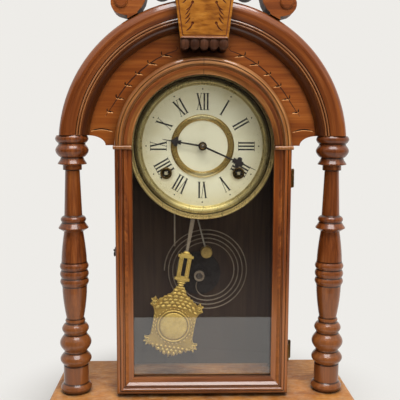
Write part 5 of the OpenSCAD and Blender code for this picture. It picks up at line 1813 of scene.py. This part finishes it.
@dataclass
class HandNut:
    """The dark washer and the domed steel nut that hold the minute hand."""

    finishes: Finishes
    level: float = -13.5 * MM
    washer: tuple[Flat, ...] = ((4.3, 0.0), (4.3, 0.5), (3.7, 0.9), (2.4, 0.9))
    dome: tuple[Flat, ...] = ((2.5, 0.6), (2.5, 2.0), (2.2, 2.6), (1.5, 3.1), (0.8, 3.4), (0.0, 3.4))

    def build(self) -> bpy.types.Object:
        """Turn both.

        Returns:
            Washer and nut, as one piece.
        """
        draft = Draft()
        place = Vector((0.0, self.level, PLACES.dial_z))
        draft.turned(place, [(radius * MM, out * MM) for radius, out in self.washer], 40)
        first = len(draft.faces)
        draft.turned(place, [(radius * MM, out * MM) for radius, out in self.dome], 8)
        return draft.piece("hand_nut", self.finishes.hand, self.finishes.steel, sharp=25, second=first)


@dataclass
class BackScrews:
    """The slotted screws that hold the back board, four down each side and three round the top."""

    finishes: Finishes
    face: float = 59.5 * MM
    edge: float = 84.0 * MM
    size: float = 3.2 * MM
    slot: float = 0.45 * MM

    def build(self) -> bpy.types.Object:
        """Turn the screw heads, each as two halves beside its slot.

        Returns:
            The heads, as one piece.
        """
        spots = [(side * self.edge, z * MM) for side in (1, -1) for z in (56.0, 138.0, 220.0, 302.0)]
        spots += [PLACES.round_dial(self.edge, angle) for angle in (45.0, 90.0, 135.0)]
        chord = math.sqrt(self.size ** 2 - self.slot ** 2)
        ways = [math.radians(75 - 15 * k) for k in range(11)]
        arc = [(self.size * math.cos(way), self.size * math.sin(way)) for way in ways]
        corners = [(self.slot, -chord), (self.slot, chord), *arc]
        heads = Draft()
        for number, (x, z) in enumerate(spots):
            for half in (0.0, math.pi):
                turn = half + math.radians(37 * number)
                outline = [
                    (x + across * math.cos(turn) - up * math.sin(turn),
                     z + across * math.sin(turn) + up * math.cos(turn)) for across, up in corners
                ]
                heads.slab(outline, self.face - 0.2 * MM, self.face + 0.45 * MM)
        return heads.piece("back_screws", self.finishes.steel)


@dataclass
class LatchGrip:
    """The small thumb knob on the latch."""

    finishes: Finishes
    place: Spot = (-91.3 * MM, -21.6 * MM, 194.6 * MM)
    size: Spot = (1.5 * MM, 2.4 * MM, 3.6 * MM)

    def build(self) -> bpy.types.Object:
        """Forge the knob.

        Returns:
            The knob.
        """
        draft = Draft()
        draft.bead(Vector(self.place), self.size, 0.2, 10, 16)
        return draft.piece("latch_grip", self.finishes.hand)


# Stage


@dataclass
class Stage:
    """Floor, lamps, backdrop and camera, and the dark room that the glass mirrors.

    Attributes:
        pale: the backdrop's colour.
        soft: the share of its light that falls on the clock.
        fade: distances between which the floor turns into the backdrop.
        room_y, room_half, room_top: where the dark room begins, half its width and its height.
        room_glow, room_foot, room_rise: its light, its light at the foot, and where that ends.
        eye: where the camera stands.
        swing, pitch, roll: how the camera is turned, in degrees.
        lens: its focal length in millimetres.
    """

    pale: Colour = srgb(238, 236, 232)
    soft: float = 0.42
    fade: Flat = (0.13, 0.29)
    room_y: float = -0.4435
    room_half: float = 2.0
    room_top: float = 0.56
    room_glow: Colour = (0.018, 0.015, 0.014, 1.0)
    room_foot: Colour = (0.15, 0.123, 0.115, 1.0)
    room_rise: float = 0.17
    eye: Spot = (-0.0200, -0.6489, 0.3216)
    swing: float = -1.57
    pitch: float = -6.46
    roll: float = -0.22
    lens: float = 54.684

    def build(self) -> None:
        """Set up everything round the clock."""
        self._world()
        self._floor()
        self._room()
        self._lamp("lamp_overhead", (0.08, -0.55, 1.3), (0.0, -0.05, 0.2), (0.8, 0.55), 14.0)
        self._lamp("lamp_front", (0.6, -1.42, 0.85), (0.0, 0.0, 0.25), (1.4, 1.1), 11.6, False)
        self._camera()

    def _world(self) -> None:
        """Give the pale backdrop to what sees it, and soft light to the rest."""
        world = bpy.data.worlds.new("pale_room")
        world.use_nodes = True
        bpy.context.scene.world = world
        bench = Bench(world.node_tree)
        back = next(n for n in world.node_tree.nodes if n.type == "BACKGROUND")
        back.inputs["Color"].default_value = self.pale
        bench.put(back.inputs["Strength"], bench.span(self._seen(bench), 0.0, 1.0, (self.soft, 1.0)))

    @staticmethod
    def _seen(bench: Bench) -> Socket:
        """Tell whether a ray comes from the camera, through glass or from a reflection."""
        path = bench.node("ShaderNodeLightPath")
        seen = bench.math("MAXIMUM", path.outputs["Is Camera Ray"], path.outputs["Is Transmission Ray"])
        return bench.math("MAXIMUM", seen, path.outputs["Is Glossy Ray"])

    def _floor(self) -> None:
        """Lay a pale floor that keeps the shadow and fades into the backdrop."""
        finish = Finish("pale_floor")
        bench = finish.bench
        fleck = bench.noise(finish.place, 6.0, 2.0)
        finish.set(Base_Color=bench.mix(fleck, srgb(229, 227, 223), srgb(226, 224, 220)), Roughness=0.8,
                   Specular_IOR_Level=0.1)
        glow = bench.node("ShaderNodeEmission")
        glow.inputs["Color"].default_value = self.pale
        far = bench.span(bench.vector("LENGTH", finish.place), *self.fade)
        finish.blend(bench.math("MULTIPLY", far, self._seen(bench)), glow)
        ways = [i * math.pi / 48 for i in range(96)]
        draft = Draft()
        draft.add([(4 * math.cos(way), 4 * math.sin(way), 0.0) for way in ways], [list(range(96))])
        floor = draft.piece("floor", finish.material)

    def _room(self) -> None:
        """Stand the dark side of the room in front, where only reflections see it."""
        finish = Finish("dark_room")
        bench = finish.bench
        near = bench.span(bench.parts(finish.place)[2], 0.0, self.room_rise)
        finish.set(Base_Color=bench.mix(bench.noise(finish.place, 2.0), srgb(30, 26, 24), srgb(22, 19, 18)),
                   Emission_Color=bench.mix(near, self.room_foot, self.room_glow),
                   Emission_Strength=1.0, Roughness=1.0, Specular_IOR_Level=0.0)
        half, y, top = self.room_half, self.room_y, self.room_top
        draft = Draft()
        draft.add([(-half, y, 0), (half, y, 0), (half, y, top), (-half, y, top)], [[0, 1, 2, 3]])
        room = draft.piece("dark_room", finish.material)
        room.visible_camera = False
        room.visible_diffuse = False
        room.visible_shadow = False
        room.visible_volume_scatter = False

    @staticmethod
    def _lamp(name: str, place: Spot, aim: Spot, size: Flat, power: float, gloss: bool = True) -> None:
        """Hang one soft lamp.

        Args:
            name: its name.
            place, aim: where it hangs and what it points at.
            size: its width and height.
            power: its power in watts.
            gloss: whether it shows in reflections.
        """
        lamp = bpy.data.lights.new(name, "AREA")
        lamp.shape = "RECTANGLE"
        lamp.size, lamp.size_y = size
        lamp.energy = power
        made = bpy.data.objects.new(name, lamp)
        made.location = place
        made.rotation_euler = (Vector(aim) - Vector(place)).to_track_quat("-Z", "Y").to_euler()
        made.visible_camera = False
        made.visible_glossy = gloss
        made.visible_transmission = False
        bpy.context.scene.collection.objects.link(made)

    def _camera(self) -> None:
        """Set the camera where the photograph was taken from."""
        turn = (Matrix.Rotation(math.radians(self.swing), 3, "Z")
                @ Matrix.Rotation(math.radians(self.pitch), 3, "X")
                @ Matrix.Rotation(math.radians(self.roll), 3, "Y"))
        right, ahead, up = (turn.col[i].copy() for i in range(3))
        lens = bpy.data.cameras.new("camera")
        lens.lens = self.lens
        lens.sensor_width = 36.0
        lens.clip_start = 0.01
        camera = bpy.data.objects.new("camera", lens)
        frame = Matrix((right, up, -ahead)).transposed().to_4x4()
        camera.matrix_world = Matrix.Translation(self.eye) @ frame
        bpy.context.scene.collection.objects.link(camera)
        bpy.context.scene.camera = camera


class Clock:
    """The whole clock: the frame's solids and the pieces that dress them."""

    def __init__(self, frame: dict) -> None:
        """Take the loaded frame.
        """
        self.nodes = frame["nodes"]
        self.finishes = Finishes()

    def dress(self) -> None:
        """Give every solid its finish and add the pieces."""
        finish_of = self.finishes.by_node()
        for name, material in finish_of.items():
            mesh = self.nodes[name].data
            mesh.materials.clear()
            mesh.materials.append(material)
        missing = sorted(set(self.nodes) - set(finish_of))
        if missing:
            LOG.warning("no finish for %s", ", ".join(missing))
        panel = CarvedPanel(self.finishes)
        self._take(panel.build(self.nodes["front_panel"]), "case", "walnut_panel", "front_panel")
        key = CarvedKey(self.finishes)
        self._take(key.build(self.nodes["keystone"]), "case", "walnut_burr", "keystone")
        self._take(key.gadroons(), "case", "walnut_burr")
        self._take(DoorBead(self.finishes).build(), "door", "walnut_door")
        self._take(BackScrews(self.finishes).build(), "case", "steel")
        self._take(BezelTurning(self.finishes).build(), "case", "dial_brass")
        self._take(HandNut(self.finishes).build(), "minute", "steel")
        self._take(LatchGrip(self.finishes).build(), "latch", "dark_brass")
        self._take(DialPrint(self.finishes).build(), "case", "dial_paint")
        gong = GongCoil(self.finishes)
        self._take(gong.build(), "case", "steel", "gong_coil")
        self._take(gong.nut(), "case", "steel")
        plate, relief = CastBob(self.finishes).build()
        self._take(plate, "pendulum", "bob_brass", "pendulum_bob")
        self._take(relief, "pendulum", "bob_brass")

    @staticmethod
    def _take(piece: bpy.types.Object, body: str, slot: str, *replaced: str) -> None:
        """Set a piece on its body.

        Args:
            piece: what was made.
            body: the body that it moves with.
            slot: the part's material slot for it; not used.
            replaced: solids that it stands for.
        """
        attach(piece, body)
        if replaced:
            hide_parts(*replaced)
        LOG.info("%s rides on %s: %d faces", piece.name, body, len(piece.data.polygons))


def main() -> None:
    """Load the frame, dress the clock and set the stage."""
    logging.basicConfig(level=logging.INFO, format="%(name)s: %(message)s")
    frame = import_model()
    bpy.context.scene.view_settings.view_transform = "Standard"
    Stage().build()
    Clock(frame).dress()


if __name__ == "__main__":
    main()
